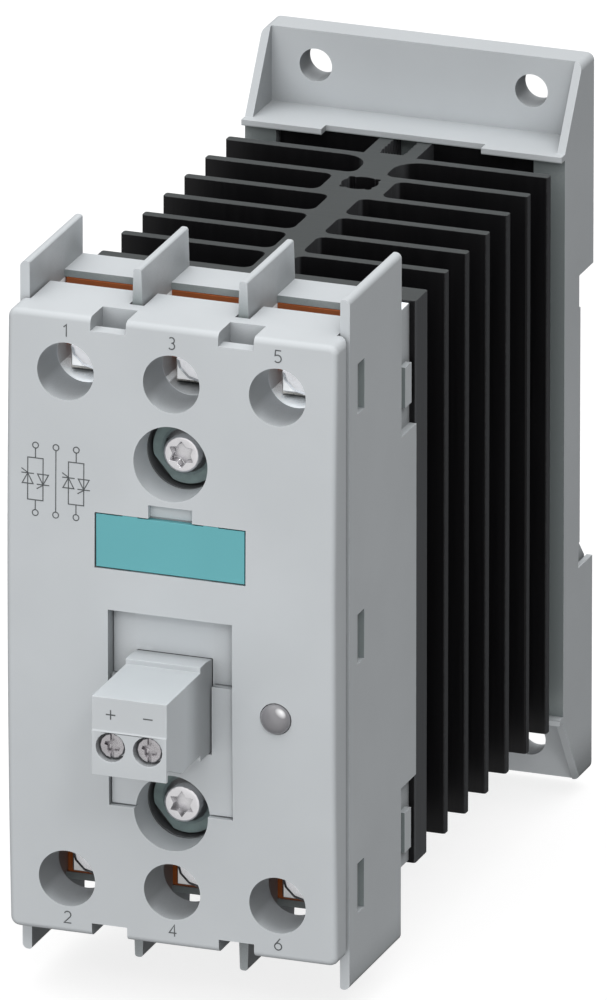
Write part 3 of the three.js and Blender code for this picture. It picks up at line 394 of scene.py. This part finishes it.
HOUSING_GREY = (0.68, 0.713, 0.737)
LOOKS = {
    "housing": moulded_plastic("moulded_grey", HOUSING_GREY, bright_wells=True),
    # The plate's grey is 0.91 of the housing's: painted shade from the relay in front of it.
    "plate": moulded_plastic("moulded_grey_plate", shade(HOUSING_GREY, 0.91), painted_shadow_within=PLATE_SHELF),
    "plug": moulded_plastic("moulded_grey_plug", HOUSING_GREY, 0.46),
    "label": moulded_plastic("moulded_teal", (0.155, 0.515, 0.56), 0.42, 0.1, 0.2, 0.2),
    # The orange insulators glow a little: painted light.
    "insulator": moulded_plastic("moulded_orange", (0.5, 0.115, 0.018), 0.5, glow=0.25),
    "black": moulded_plastic("moulded_black", (0.012, 0.012, 0.013), 0.45),
    "sink": anodised("black_anodised"),
    # studio gives the plated steel, the terminal screws and the clamps a painted reflection.
    "steel": metal(
        "bright_plated_steel", (0.84, 0.83, 0.85), 0.18, tarnish=0.2, studio=0.05, corner_shade_mm=1.6
    ),
    "screw": metal("terminal_screw_steel", (0.86, 0.86, 0.88), 0.28, tarnish=0.35, studio=0.6),
    "plug_screw": metal("plug_screw_steel", (0.6, 0.58, 0.6), 0.26, tarnish=0.45),
    "washer": gloss("grey_zinc_washer", (0.25, 0.325, 0.32), 0.4, 1.2),
    "clamp": metal("zinc_clamp_steel", (0.78, 0.78, 0.78), 0.3, 0.1, tarnish=0.4, studio=0.6),
    "spring": metal("spring_steel", (0.5, 0.5, 0.52), 0.25, 0.06),
    "copper": metal("tinned_copper", (0.74, 0.71, 0.66), 0.3, 0.1, stretch=(1, 1, 0.05)),
    "board": circuit_board("green_board"),
    "ceramic": gloss("white_alumina", (0.78, 0.76, 0.7), 0.4),
    "silicon": gloss("dark_silicon", (0.05, 0.055, 0.075), 0.12, 1.2),
    "thermal": moulded_plastic("thermal_pad_grey", (0.3, 0.32, 0.36), 0.85, 0.3),
    "capacitor": gloss("dipped_blue", (0.03, 0.13, 0.36), 0.2),
    "lens": light_guide("smoked_light_guide"),
    "led": gloss("led_epoxy", (0.7, 0.72, 0.7), 0.08, 1.0, transmission_weight=0.5),
    "ink": moulded_plastic("dark_grey_ink", (0.105, 0.115, 0.12), 0.5, 0.1, 0.0, 0.0),
}

# ---------------------------------------------------------------- solids in millimetres


def new_object(bm, name="part"):
    mesh = bpy.data.meshes.new(name)
    bmesh.ops.recalc_face_normals(bm, faces=bm.faces)
    bm.to_mesh(mesh)
    bm.free()
    made = bpy.data.objects.new(name, mesh)
    scene.collection.objects.link(made)
    return made


def prism(outline, low, high, axes="xyz"):
    """An outline in the first two axes, drawn out from low to high along the third."""
    order = ["xyz".index(a) for a in axes]
    bm = bmesh.new()
    rings = []
    for level in (low, high):
        ring = []
        for u, v in outline:
            point = [0, 0, 0]
            point[order[0]], point[order[1]], point[order[2]] = u, v, level
            ring.append(bm.verts.new(point))
        rings.append(ring)
    count = len(outline)
    bm.faces.new(rings[0])
    bm.faces.new(rings[1])
    for i in range(count):
        j = (i + 1) % count
        bm.faces.new((rings[0][i], rings[0][j], rings[1][j], rings[1][i]))
    return new_object(bm)


def block(x, y, z):
    return prism([(x[0], y[0]), (x[1], y[0]), (x[1], y[1]), (x[0], y[1])], z[0], z[1])


def arc(cx, cy, radius, start, end, steps):
    """Points on an arc from start to end degrees."""
    angles = [math.radians(start + (end - start) * i / steps) for i in range(steps + 1)]
    return [(cx + radius * math.cos(a), cy + radius * math.sin(a)) for a in angles]


def circle(x, y, radius, steps=20):
    return arc(x, y, radius, 0, 360, steps)[:-1]


def rod(x, z, radius, y0, y1, sides=64):
    return prism(circle(x, z, radius, sides), y0, y1, "xzy")


def turned(profile, x=0.0, z=0.0, sides=48):
    """A piece turned about a Y axis through (x, z).

    The (radius, y) points of its profile start and end on the axis.
    """
    bm = bmesh.new()
    rings = []
    for radius, y in profile:
        points = circle(x, z, radius, sides) if radius else [(x, z)]
        rings.append([bm.verts.new((u, y, v)) for u, v in points])
    for first, second in zip(rings, rings[1:]):
        for i in range(sides):
            j = (i + 1) % sides
            corners = [first[i % len(first)], first[j % len(first)]]
            corners += [second[j % len(second)], second[i % len(second)]]
            bm.faces.new(list(dict.fromkeys(corners)))
    return new_object(bm)


def bake(made):
    """Applies the modifiers."""
    graph = bpy.context.evaluated_depsgraph_get()
    mesh = bpy.data.meshes.new_from_object(made.evaluated_get(graph))
    made.modifiers.clear()
    made.data = mesh
    return made


def boolean(body, tools, operation):
    for tool in tools:
        step = body.modifiers.new("step", "BOOLEAN")
        step.operation = operation
        step.object = tool
        step.solver = "MANIFOLD"
    bake(body)
    for tool in tools:
        bpy.data.objects.remove(tool)
    return body


def cut(body, *tools):
    return boolean(body, tools, "DIFFERENCE")


def join(body, *tools):
    return boolean(body, tools, "UNION")


def tidy_faces(made, angle=0.004, convex=False):
    """Merges the triangles of each flat face, and splits it into convex ones if asked."""
    bm = bmesh.new()
    bm.from_mesh(made.data)
    bmesh.ops.remove_doubles(bm, verts=bm.verts, dist=1e-4)
    bmesh.ops.dissolve_limit(bm, angle_limit=angle, verts=bm.verts, edges=bm.edges)
    if convex:
        bmesh.ops.connect_verts_concave(bm, faces=bm.faces)
    bm.to_mesh(made.data)
    bm.free()
    return made


def round_edges(made, chosen, offset, segments=4):
    """Rounds the sharp edges for which chosen(first corner, second corner) is true."""
    sharp = 0.5
    bm = bmesh.new()
    bm.from_mesh(made.data)
    edges = [e for e in bm.edges if chosen(e.verts[0].co, e.verts[1].co) and e.calc_face_angle(0) > sharp]
    bmesh.ops.bevel(
        bm, geom=edges, offset=offset, segments=segments, profile=0.5, affect="EDGES", clamp_overlap=True
    )
    bm.to_mesh(made.data)
    bm.free()
    return made


def soften(made, width, segments=2, angle=28, convex=False):
    """A small radius on every remaining edge."""
    tidy_faces(made, convex=convex)
    step = made.modifiers.new("soften", "BEVEL")
    step.width = width
    step.segments = segments
    step.limit_method = "ANGLE"
    step.angle_limit = math.radians(angle)
    step.miter_outer = "MITER_ARC"
    step.use_clamp_overlap = True
    return bake(made)


def finish(made, name, look, body, nodes=(), smooth=38):
    """Scales a piece to metres, shades it and ties it to its CAD body."""
    made.name = name
    made.data.transform(Matrix.Scale(MM, 4))
    made.data.materials.clear()
    made.data.materials.append(LOOKS[look])
    made.data.polygons.foreach_set("use_smooth", [True] * len(made.data.polygons))
    made.data.set_sharp_from_angle(angle=math.radians(smooth))
    weighted = made.modifiers.new("even_shading", "WEIGHTED_NORMAL")
    weighted.keep_sharp = True
    bake(made)
    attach(made, body)
    if nodes:
        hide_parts(*nodes)
    return made


BODY = {node: body for body, nodes in frame["record"]["behaviour"]["bodies"].items() for node in nodes}


def stand_in(made, node, look, smooth=38):
    """Finishes a piece that stands for one CAD node."""
    return finish(made, node + "_finished", look, BODY[node], [node], smooth)


def copy_of(node):
    """The CAD node's own shape as a working piece in millimetres."""
    made = bpy.data.objects.new(node + "_copy", frame["nodes"][node].data.copy())
    scene.collection.objects.link(made)
    made.data.transform(Matrix.Scale(1 / MM, 4))
    return tidy_faces(made)


def refine(node, look, width=0.15, segments=2, angle=28, convex=False):
    return stand_in(soften(copy_of(node), width, segments, angle, convex), node, look)


# ---------------------------------------------------------------- heat sink

SINK_FIN = {"count": 6, "pitch": 7.88, "first_rear": -51.4, "thickness": 1.4, "tip": 0.35}
WEB = {"half": 2.1, "wide": 4.4, "wide_gap": 4, "tail": 3.65, "corner": 1.3, "big_corner": 3.6}
WEB_HOLE = {"y": -23.5, "radius": 2.45, "notch": 0.5}
TAIL_SLOT = {"half": 1.6, "front": -11.4, "tooth": 1.1, "depth": 0.22}
FOOT = {"half": 17.7, "front": -5.4}
THREAD = {"radius": 2.15, "rear": -60.1}


def sink_half_outline():
    """The right half of the section, from the middle of the front to the middle of the rear."""
    low, high = box("heat_sink")
    half, last = high.x, SINK_FIN["count"] - 1
    tip = SINK_FIN["tip"]
    points = [(0, low.y), *arc(half - tip, low.y + tip, tip, 270, 360, 3)]
    points += arc(half - tip, SINK_PLATE_REAR - tip, tip, 0, 90, 3)
    for i in range(last + 1):
        gap_front = SINK_PLATE_REAR if i == 0 else SINK_FIN["first_rear"] + (i - 1) * SINK_FIN["pitch"]
        fin_rear = SINK_FIN["first_rear"] + i * SINK_FIN["pitch"]
        gap_rear = fin_rear - SINK_FIN["thickness"]
        web = WEB["wide"] if i == WEB["wide_gap"] else WEB["half"]
        corner = WEB["corner"]
        rear_corner = WEB["big_corner"] if i == last else corner
        points += arc(web + corner, gap_front + corner, corner, 270, 180, 6)
        points += arc(web + rear_corner, gap_rear - rear_corner, rear_corner, 180, 90, 8)
        points += arc(half - tip, gap_rear + tip, tip, 270, 360, 3)
        if i < last:
            points += arc(half - tip, fin_rear - tip, tip, 0, 90, 3)
    points += arc(half - tip, fin_rear - tip, tip, 0, 90, 3)
    points += [
        (WEB["tail"], fin_rear),
        (WEB["tail"], FOOT["front"]),
        (FOOT["half"], FOOT["front"]),
        (FOOT["half"], high.y),
    ]
    slot, y = TAIL_SLOT["half"], high.y
    while y > TAIL_SLOT["front"] + TAIL_SLOT["tooth"]:
        points += [(slot, y), (slot + TAIL_SLOT["depth"], y - TAIL_SLOT["tooth"] * 0.3)]
        y -= TAIL_SLOT["tooth"]
    points += [(slot, y), (slot, TAIL_SLOT["front"])]
    return points


def heat_sink():
    low, high = box("heat_sink")
    half = sink_half_outline()
    outline = half + [(-x, y) for x, y in reversed(half[1:])]
    sink = prism(outline, low.z, high.z)
    ends = (low.z - 5, high.z + 5)
    web_hole = prism(circle(0, WEB_HOLE["y"], WEB_HOLE["radius"], 48), *ends)
    notches = []
    for x, y in arc(0, WEB_HOLE["y"], WEB_HOLE["radius"], 45, 315, 3):
        notches.append(prism(circle(x, y, WEB_HOLE["notch"], 12), *ends))
    threads = [rod(0, middle(n).z, THREAD["radius"], low.y - 1, THREAD["rear"], 32) for n in MOUNTING_SCREWS]
    cut(sink, web_hole, *notches, *threads)
    soften(sink, 0.1, 1, 40)
    stand_in(sink, "heat_sink", "sink", 30)


heat_sink()

# ---------------------------------------------------------------- mounting plate, latch and spring

PANEL_HOLE = {"x": 15, "z": 45.2, "radius": 2.26, "front": -1, "rear": 6}


def mounting_plate():
    plate = copy_of("mounting_plate")
    high = box("mounting_plate")[1]

    def at_corner(a, b):
        """True for the edges that run from front to rear at the plate's outer corners."""
        on_side = min(abs(a.x), abs(b.x)) > high.x - NEAR
        straight = abs(a.x - b.x) < 0.1 and abs(a.z - b.z) < 0.1
        return on_side and straight and abs(a.z) > high.z - NEAR

    round_edges(plate, at_corner, 1.0, 5)
    spots = [(sx * PANEL_HOLE["x"], sz * PANEL_HOLE["z"]) for sx in (-1, 1) for sz in (-1, 1)]
    cut(plate, *[rod(*spot, PANEL_HOLE["radius"], PANEL_HOLE["front"], PANEL_HOLE["rear"]) for spot in spots])
    soften(plate, 0.22, 2)
    stand_in(plate, "mounting_plate", "plate")


mounting_plate()
refine("din_latch", "plate", 0.2)


def coil(node, look, radius, wire, turns, ride_on):
    """A compression spring with closed ends, in its CAD node's space. wire is the wire's radius."""
    low, high = box(node)
    centre = middle(node)
    curve = bpy.data.curves.new(node + "_wire", "CURVE")
    curve.dimensions = "3D"
    curve.bevel_depth = wire
    curve.bevel_resolution = 3
    curve.use_fill_caps = True
    per_turn = 24
    closed = 0.9  # turns that lie against each other at each end
    closed_rise = 2.1 * wire
    steps = int((turns + 2 * closed) * per_turn)
    line = curve.splines.new("POLY")
    line.points.add(steps)
    bottom, top = low.z + wire, high.z - wire
    for i in range(steps + 1):
        turn = i / per_turn
        rise = min(max((turn - closed) / turns, 0), 1)
        end_turns = min(turn, closed) + max(turn - closed - turns, 0)
        z = bottom + end_turns / closed * closed_rise + (top - bottom - 2 * closed_rise) * rise
        angle = 2 * math.pi * turn
        line.points[i].co = (radius * math.cos(angle), centre.y + radius * math.sin(angle), z, 1)
    wire_path = bpy.data.objects.new(node + "_wire", curve)
    made = bpy.data.objects.new(node + "_finished", bpy.data.meshes.new_from_object(wire_path))
    scene.collection.objects.link(made)
    bpy.data.objects.remove(wire_path)
    return finish(made, node + "_finished", look, ride_on, [node])


SPRING = {"radius": 1.55, "wire": 0.22, "turns": 6}


def latch_spring():
    spring = coil("latch_spring", "spring", SPRING["radius"], SPRING["wire"], SPRING["turns"], "root")
    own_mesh(spring)


latch_spring()

# ---------------------------------------------------------------- base housing


def well_cup(z):
    """The seat under a mounting washer, with its low wall."""
    cup = rod(0, z, WELL_CUP["radius"], WELL_CUP["front"], WELL_CUP["rear"], 72)
    hollow = rod(0, z, WELL["radius"], CUT_THROUGH[0], WELL["floor"], 72)
    return cut(cup, hollow, rod(0, z, WELL["bore"], *CUT_THROUGH, 48))


def base_housing():
    base = copy_of("base_housing")
    join(base, *[well_cup(middle(n).z) for n in MOUNTING_SCREWS])
    high = box("base_housing")[1]

    def on_crest(a, b):
        """True for the long edges from front to rear at the top and bottom ends of the fences."""
        return abs(a.y - b.y) > 3 and min(abs(a.z), abs(b.z)) > high.z - 0.02

    round_edges(base, lambda a, b: on_crest(a, b) and abs(a.x) > high.x - 0.05, 0.75, 5)
    round_edges(base, lambda a, b: on_crest(a, b) and abs(a.x) < high.x - 0.5, 0.35, 3)
    soften(base, 0.16, 2, convex=True)
    stand_in(base, "base_housing", "housing")


base_housing()

# ---------------------------------------------------------------- front cover

PANEL = {"half": 8.5, "top": 3.2, "step": -5.9, "bottom": -23.7}
GROOVE = {"width": 0.17, "depth": 0.6, "upper_depth": 1.3, "step_depth": 1.4}
SOCKET_RIM = {"inner": 5.2, "outer": 5.45, "top": -1.75, "bottom": -15.4, "front": -93.3, "rear": -92.3}
SOCKET_LIP = {"rear": -93.22, "bottom": -2.42}
TERMINAL_HOLE_RADIUS = 3.87


def panel_grooves():
    """Fine parting lines of the panel around the control plug."""
    half, step, bottom, line = PANEL["half"], PANEL["step"], PANEL["bottom"], GROOVE["width"]
    front = COVER["front"]
    before = front - 0.5
    left = (-half, -half + line)
    return [
        block((-half, half), (before, front + GROOVE["step_depth"]), (step - line / 2, step + line / 2)),
        block((-half, half), (before, front + GROOVE["depth"]), (bottom, bottom + line)),
        block(left, (before, front + GROOVE["depth"]), (bottom, step)),
        block(left, (front, front + GROOVE["upper_depth"]), (step, PANEL["top"])),
    ]


def socket_rim():
    """Strips that close the opening round the control socket to a fine joint line."""
    inner, outer, top, front = (SOCKET_RIM[key] for key in ("inner", "outer", "top", "front"))
    depth, height = (front, SOCKET_RIM["rear"]), (SOCKET_RIM["bottom"], top)
    sides = [block(span, depth, height) for span in ((-outer, -inner), (inner, outer))]
    lip = block((-outer, outer), (front, SOCKET_LIP["rear"]), (SOCKET_LIP["bottom"], top))
    return [*sides, lip]


def front_cover():
    cover = copy_of("front_cover")
    high = box("front_cover")[1]
    corner_radius = 1.2

    def at_corner(p, reach=NEAR):
        return abs(p.x) > high.x - reach and abs(p.z) > high.z - reach

    def on_rim(p):
        """True for the front corners on the cover's outline, once its corners are rounded."""
        on_side = abs(p.x) > high.x - NEAR or abs(p.z) > high.z - NEAR
        return p.y < COVER["front"] + 0.05 and (on_side or at_corner(p, corner_radius + NEAR))

    round_edges(cover, lambda a, b: at_corner(a) and at_corner(b), corner_radius, 5)
    round_edges(cover, lambda a, b: on_rim(a) and on_rim(b), 0.8, 4)
    screws = [middle(f"terminal_screw_{i}") for i in TERMINALS]
    holes = [rod(screw.x, screw.z, TERMINAL_HOLE_RADIUS, *CUT_THROUGH) for screw in screws]
    wells = [rod(0, middle(n).z, WELL["radius"], *CUT_THROUGH, 72) for n in MOUNTING_SCREWS]
    cut(cover, *holes, *wells)
    soften(cover, 0.14, 2)
    cut(cover, *panel_grooves())
    join(cover, *socket_rim())
    stand_in(cover, "front_cover", "housing")


front_cover()
refine("label_plate", "label", 0.18)

# ---------------------------------------------------------------- terminals and mounting screws

for i in TERMINALS:
    refine(f"terminal_screw_{i}", "screw", 0.12)
    refine(f"terminal_washer_{i}", "clamp", 0.2)
    refine(f"terminal_insert_{i}", "insulator", 0.12)
for i in (1, 2, 5, 6):
    refine(f"terminal_lead_{i}", "copper", 0.1, convex=True)
refine("through_bar", "copper", 0.1)

WASHER = {"front": -88.85, "rear": -87.65, "seam": -88.3, "radius": 4.6, "flat": 4.15, "turn": 40}
DISC = {"radius": 4.52, "gap": 0.03}


def mounting_washer(end):
    """A thin washer with two flats, turned 40 degrees."""
    node = f"mounting_washer_{end}"
    z = middle(node).z
    washer = rod(0, z, WASHER["radius"], WASHER["front"], WASHER["seam"], 96)
    turn = Matrix.Translation((0, 0, z)) @ Matrix.Rotation(math.radians(-WASHER["turn"]), 4, "Y")
    beyond = 2 * WASHER["radius"]
    sides = []
    for hand in (-1, 1):
        side = block(sorted((hand * WASHER["flat"], hand * beyond)), CUT_THROUGH, (-beyond, beyond))
        side.data.transform(turn)
        sides.append(side)
    cut(washer, rod(0, z, WELL["bore"], *CUT_THROUGH, 48), *sides)
    stand_in(soften(washer, 0.1, 2), node, "washer")


def mounting_screw(end):
    """The star-drive screw, with the bright disc under its washer."""
    node = f"mounting_screw_{end}"
    z = middle(node).z
    disc = rod(0, z, DISC["radius"], WASHER["seam"] + DISC["gap"], WASHER["rear"], 96)
    screw = soften(join(copy_of(node), disc), 0.1, 2)
    stand_in(screw, node, "steel")


for end in ("upper", "lower"):
    mounting_screw(end)
    mounting_washer(end)
    refine(f"plate_screw_{end}", "steel", 0.1)

# ---------------------------------------------------------------- control plug, board and switching stage

CONTROL_PITCH = 5.08
RECESS = {"half": 1.05, "half_width": 0.24, "depth": 0.85, "turn": 20}


def plug_screw(end):
    """A slotted screw with a small cross recess that is turned a little off the slot."""
    node = f"plug_screw_{end}"
    centre = middle(node)
    front = box(node)[0].y
    turn = Matrix.Rotation(math.radians(RECESS["turn"]), 4, "Y")
    long, narrow = (-RECESS["half"], RECESS["half"]), (-RECESS["half_width"], RECESS["half_width"])
    depth = (front - 1, front + RECESS["depth"])
    recess = join(block(long, depth, narrow), block(narrow, depth, long))
    recess.data.transform(Matrix.Translation((centre.x, 0, centre.z)) @ turn)
    stand_in(soften(cut(copy_of(node), recess), 0.05, 2), node, "plug_screw")


for end in ("left", "right"):
    plug_screw(end)
    refine(f"plug_clamp_{end}", "clamp", 0.1)
    refine(f"plug_contact_{end}", "copper", 0.08)
    refine(f"header_pin_{end}", "copper", 0.08)
    refine(f"optocoupler_{end}", "black", 0.1)
    refine(f"snubber_{end}", "capacitor", 0.5)
refine("plug_housing", "plug", 0.15, convex=True)
refine("control_header", "black", 0.1)
refine("control_board", "board", 0.05)
refine("thermal_pad", "thermal", 0.08)
refine("ceramic_substrate", "ceramic", 0.08)
for i in (1, 2, 3, 4):
    refine(f"thyristor_chip_{i}", "silicon", 0.05)

# ---------------------------------------------------------------- status lamp

GUIDE = {"radius": 2.05, "foot": -95.2, "stem": 1.4, "collar": 2.75}
GUIDE_COLLAR = {"front": -91.45, "rear": -90.6}
GUIDE_GROOVE = {"front": 0.12, "slope": 0.42, "rear": 0.5, "depth": 0.12}


def led_lens():
    """A domed light guide with a groove at its foot."""
    low, high = box("led_lens")
    centre = middle("led_lens")
    radius, foot, stem, collar = (GUIDE[key] for key in ("radius", "foot", "stem", "collar"))
    height = foot - low.y
    dome = [(radius * c, foot - height * s) for c, s in arc(0, 0, 1, 0, 90, 12)[:-1]] + [(0, low.y)]
    profile = [(0, high.y), (stem, high.y), (stem, GUIDE_COLLAR["rear"]), (collar, GUIDE_COLLAR["rear"])]
    profile += [(collar, GUIDE_COLLAR["front"]), (radius, GUIDE_COLLAR["front"])]
    narrow = radius - GUIDE_GROOVE["depth"]
    profile += [(radius, foot + GUIDE_GROOVE["rear"]), (narrow, foot + GUIDE_GROOVE["slope"])]
    profile += [(narrow, foot + GUIDE_GROOVE["front"]), *dome]
    stand_in(turned(profile, centre.x, centre.z, 64), "led_lens", "lens")


led_lens()
refine("led", "led", 0.05)

# ---------------------------------------------------------------- printed marks


def cover_front(z):
    """The bowed front face of the cover at a height."""
    return COVER["front"] - COVER["bow"] * (1 - (z / COVER["half_height"]) ** 2)


def add_stroke(bm, points, width, front, closed=False):
    """A flat line of ink along points (x, z), as thick as paint and sunk into the face front(z)."""
    lift, sink = 0.025, 0.05
    count = len(points)
    rings = []
    for i, (x, z) in enumerate(points):
        before = points[i - 1] if i or closed else points[i]
        after = points[(i + 1) % count] if i < count - 1 or closed else points[i]
        first, second = Vector((x - before[0], z - before[1])), Vector((after[0] - x, after[1] - z))
        way = (first.normalized() + second.normalized()).normalized()
        reach = width / 2
        if first.length and second.length:
            reach /= max(0.5, way.dot(second.normalized()))
        side = Vector((-way.y, way.x)) * reach
        ring = []
        for hand, depth in ((1, -lift), (-1, -lift), (-1, sink), (1, sink)):
            u, w = x + hand * side.x, z + hand * side.y
            ring.append(bm.verts.new((u, front(w) + depth, w)))
        rings.append(ring)
    pairs = list(zip(rings, rings[1:])) + ([(rings[-1], rings[0])] if closed else [])
    for ring, following in pairs:
        for k in range(4):
            j = (k + 1) % 4
            bm.faces.new((ring[k], ring[j], following[j], following[k]))
    if not closed:
        bm.faces.new(rings[0])
        bm.faces.new(rings[-1][::-1])


def box_outline(x, z, width, height):
    return [
        (x - width / 2, z - height / 2),
        (x + width / 2, z - height / 2),
        (x + width / 2, z + height / 2),
        (x - width / 2, z + height / 2),
    ]


DIGIT_WIDTH = 0.6

# Each digit in a cell DIGIT_WIDTH wide and 1 tall, as open strokes.
DIGITS = {
    "1": [[(0.1, 0.78), (0.34, 1), (0.34, 0)]],
    "2": [[*arc(0.3, 0.72, 0.28, 160, -35, 8), (0, 0), (0.6, 0)]],
    "3": [[*arc(0.28, 0.76, 0.24, 140, -80, 7), *arc(0.28, 0.27, 0.27, 80, -145, 8)]],
    "4": [[(0.45, 0), (0.45, 1), (0, 0.3), (0.62, 0.3)]],
    "5": [[(0.56, 1), (0.1, 1), (0.06, 0.56), *arc(0.28, 0.31, 0.31, 110, -140, 9)]],
    "6": [[(0.48, 1), *arc(0.3, 0.3, 0.3, 150, 510, 16)]],
}


def terminal_numbers(bm):
    """Odd numbers above the upper terminals, even ones below the lower terminals."""
    height, line = 1.6, 0.15
    upper_foot, lower_foot = 39.45, -40.95
    for i in TERMINALS:
        left = middle(f"terminal_screw_{i}").x - DIGIT_WIDTH / 2 * height
        foot = upper_foot if i % 2 else lower_foot
        for stroke in DIGITS[str(i)]:
            points = [(left + u * height, foot + v * height) for u, v in stroke]
            add_stroke(bm, points, line, cover_front)


def thyristor(bm, x, centre, way, line):
    """A thyristor that points up or down: a triangle, the bar at its tip and the gate."""
    half_base, half_bar, half_height, gate_rise = 0.75, 0.85, 0.7, 0.6
    tip, base = centre - way * half_height, centre + way * half_height
    add_stroke(bm, [(x - half_base, base), (x + half_base, base), (x, tip)], line, cover_front, closed=True)
    add_stroke(bm, [(x - half_bar, tip), (x + half_bar, tip)], line, cover_front)
    add_stroke(bm, [(x + 0.1, tip), (x - half_bar, tip - way * gate_rise)], line, cover_front)


def circuit_diagram(bm):
    """Two switched phases, each a pair of back-to-back thyristors, and one phase straight through."""
    first, through, last = -18.45, -15.65, -12.87
    line, ring = 0.13, 0.4
    top, bottom, rise, spread = 24.35, 15.2, 2.85, 1.05
    centre = (top + bottom) / 2
    for x in (first, through, last):
        for z in (top, bottom):
            add_stroke(bm, circle(x, z, ring), line, cover_front, closed=True)
    add_stroke(bm, [(through, top - ring), (through, bottom + ring)], line, cover_front)
    for x in (first, last):
        for way, end in ((-1, bottom), (1, top)):
            add_stroke(bm, [(x, end - way * ring), (x, centre + way * rise)], line, cover_front)
        add_stroke(bm, box_outline(x, centre, 2 * spread, 2 * rise), line, cover_front, closed=True)
        for way in (-1, 1):
            thyristor(bm, x + way * spread, centre, way, line)


def print_on(name, body, draw):
    bm = bmesh.new()
    draw(bm)
    finish(new_object(bm, name), name, "ink", body, smooth=30)


def plug_signs(bm):
    """A plus and a minus over the control terminals."""
    face = box("plug_housing")[0].y + 0.15
    arm, line, z = 0.65, 0.16, -5.2
    plus, minus = -CONTROL_PITCH / 2, CONTROL_PITCH / 2

    def front(height):
        """The plug's face is flat, so it is the same at every height."""
        return face

    for x in (plus, minus):
        add_stroke(bm, [(x - arm, z), (x + arm, z)], line, front)
    for way in (-1, 1):
        add_stroke(bm, [(plus, z + way * arm), (plus, z + way * line / 2)], line, front)


print_on("terminal_numbers", "root", terminal_numbers)
print_on("circuit_diagram", "root", circuit_diagram)
print_on("plug_signs", "control_plug", plug_signs)

# ---------------------------------------------------------------- floor, light and camera

FLOOR_Z = -52 * MM


def studio_floor():
    """A pale floor with a faint contact shadow. Only the camera sees it, so it gives back no light."""
    mesh = bpy.data.meshes.new("floor")
    half = 6.0
    corners = [(x, y, FLOOR_Z) for x, y in ((-half, -half), (half, -half), (half, half), (-half, half))]
    mesh.from_pydata(corners, [], [(0, 1, 2, 3)])
    floor = bpy.data.objects.new("studio_floor", mesh)
    scene.collection.objects.link(floor)
    look = Look("pale_floor")
    seen = look.node("ShaderNodeLightPath").outputs["Is Camera Ray"]
    cloud = look.mix(look.remap(look.noise(400, 2), 0.3, 0.7), (0.3, 0.3, 0.3), (0.32, 0.32, 0.32))
    diffuse = look.node("ShaderNodeBsdfDiffuse", {"Color": cloud}).outputs[0]
    glow = look.node("ShaderNodeEmission", {"Color": (1, 1, 1, 1), "Strength": 0.8}).outputs[0]
    paper = look.node("ShaderNodeAddShader", {0: diffuse, 1: glow}).outputs[0]
    clear = look.node("ShaderNodeBsdfTransparent").outputs[0]
    shown = look.node("ShaderNodeMixShader", {0: seen, 1: clear, 2: paper}).outputs[0]
    look.node("ShaderNodeOutputMaterial", {"Surface": shown})
    mesh.materials.append(look.material)


FRONT_LIGHT = 1.05
TOP_LIGHT = 2.05
EVEN_LIGHT = 0.085
WHITE_BEHIND = 1.3
RELAY_MIDDLE = Vector((0, -50, 0)) * MM


def studio_world():
    """Soft light from a broad patch in front and a stronger one overhead, white behind."""
    world = bpy.data.worlds.new("studio")
    world.use_nodes = True
    scene.world = world
    tree = world.node_tree
    tree.nodes.clear()
    way = add_node(tree, "ShaderNodeTexCoord").outputs["Generated"]
    way = add_node(tree, "ShaderNodeSeparateXYZ", {0: way})

    def maths(operation, first, second):
        return add_node(tree, "ShaderNodeMath", {0: first, 1: second}, operation=operation).outputs[0]

    def lobe(towards, strength):
        facing = maths("MAXIMUM", towards, 0.0)
        return maths("MULTIPLY", maths("MULTIPLY", facing, facing), strength)

    front = maths("ADD", lobe(maths("MULTIPLY", way.outputs["Y"], -1.0), FRONT_LIGHT), EVEN_LIGHT)
    light = maths("ADD", front, lobe(way.outputs["Z"], TOP_LIGHT))
    seen = add_node(tree, "ShaderNodeLightPath").outputs["Is Camera Ray"]
    keys = {0: seen, 2: light, 3: WHITE_BEHIND}
    shown = add_node(tree, "ShaderNodeMix", keys, data_type="FLOAT").outputs[0]
    keys = {"Color": (0.8, 0.8, 0.8, 1), "Strength": shown}
    background = add_node(tree, "ShaderNodeBackground", keys).outputs[0]
    add_node(tree, "ShaderNodeOutputWorld", {"Surface": background})


def area_light(name, direction, distance, size, watts):
    """A square soft light that faces the relay from a direction."""
    data = bpy.data.lights.new(name, "AREA")
    data.size = size
    data.energy = watts
    light = bpy.data.objects.new(name, data)
    scene.collection.objects.link(light)
    way = Vector(direction).normalized()
    light.location = RELAY_MIDDLE + way * distance
    light.rotation_mode = "QUATERNION"
    light.rotation_quaternion = way.to_track_quat("Z", "Y")


def studio_camera():
    """A long lens, 20 degrees to the right of the front and 20 degrees above it."""
    azimuth, elevation = math.radians(20), math.radians(20)
    view_height = 129.87 * MM
    lens, sensor = 1000.0, 36.0
    aim = Vector((1.19, -48.27, 3.35)) * MM
    level = math.cos(elevation)
    back = Vector((math.sin(azimuth) * level, -math.cos(azimuth) * level, math.sin(elevation)))
    data = bpy.data.cameras.new("camera")
    data.lens = lens
    data.sensor_width = sensor
    data.clip_end = 20
    camera = bpy.data.objects.new("camera", data)
    scene.collection.objects.link(camera)
    camera.location = aim + back * (view_height * lens / sensor)
    camera.rotation_mode = "QUATERNION"
    camera.rotation_quaternion = back.to_track_quat("Z", "Y")
    scene.camera = camera


studio_floor()
studio_world()
area_light("sparkle", TO_SPARKLE, distance=1.2, size=0.16, watts=1.1)
studio_camera()
scene.view_settings.view_transform = "Standard"
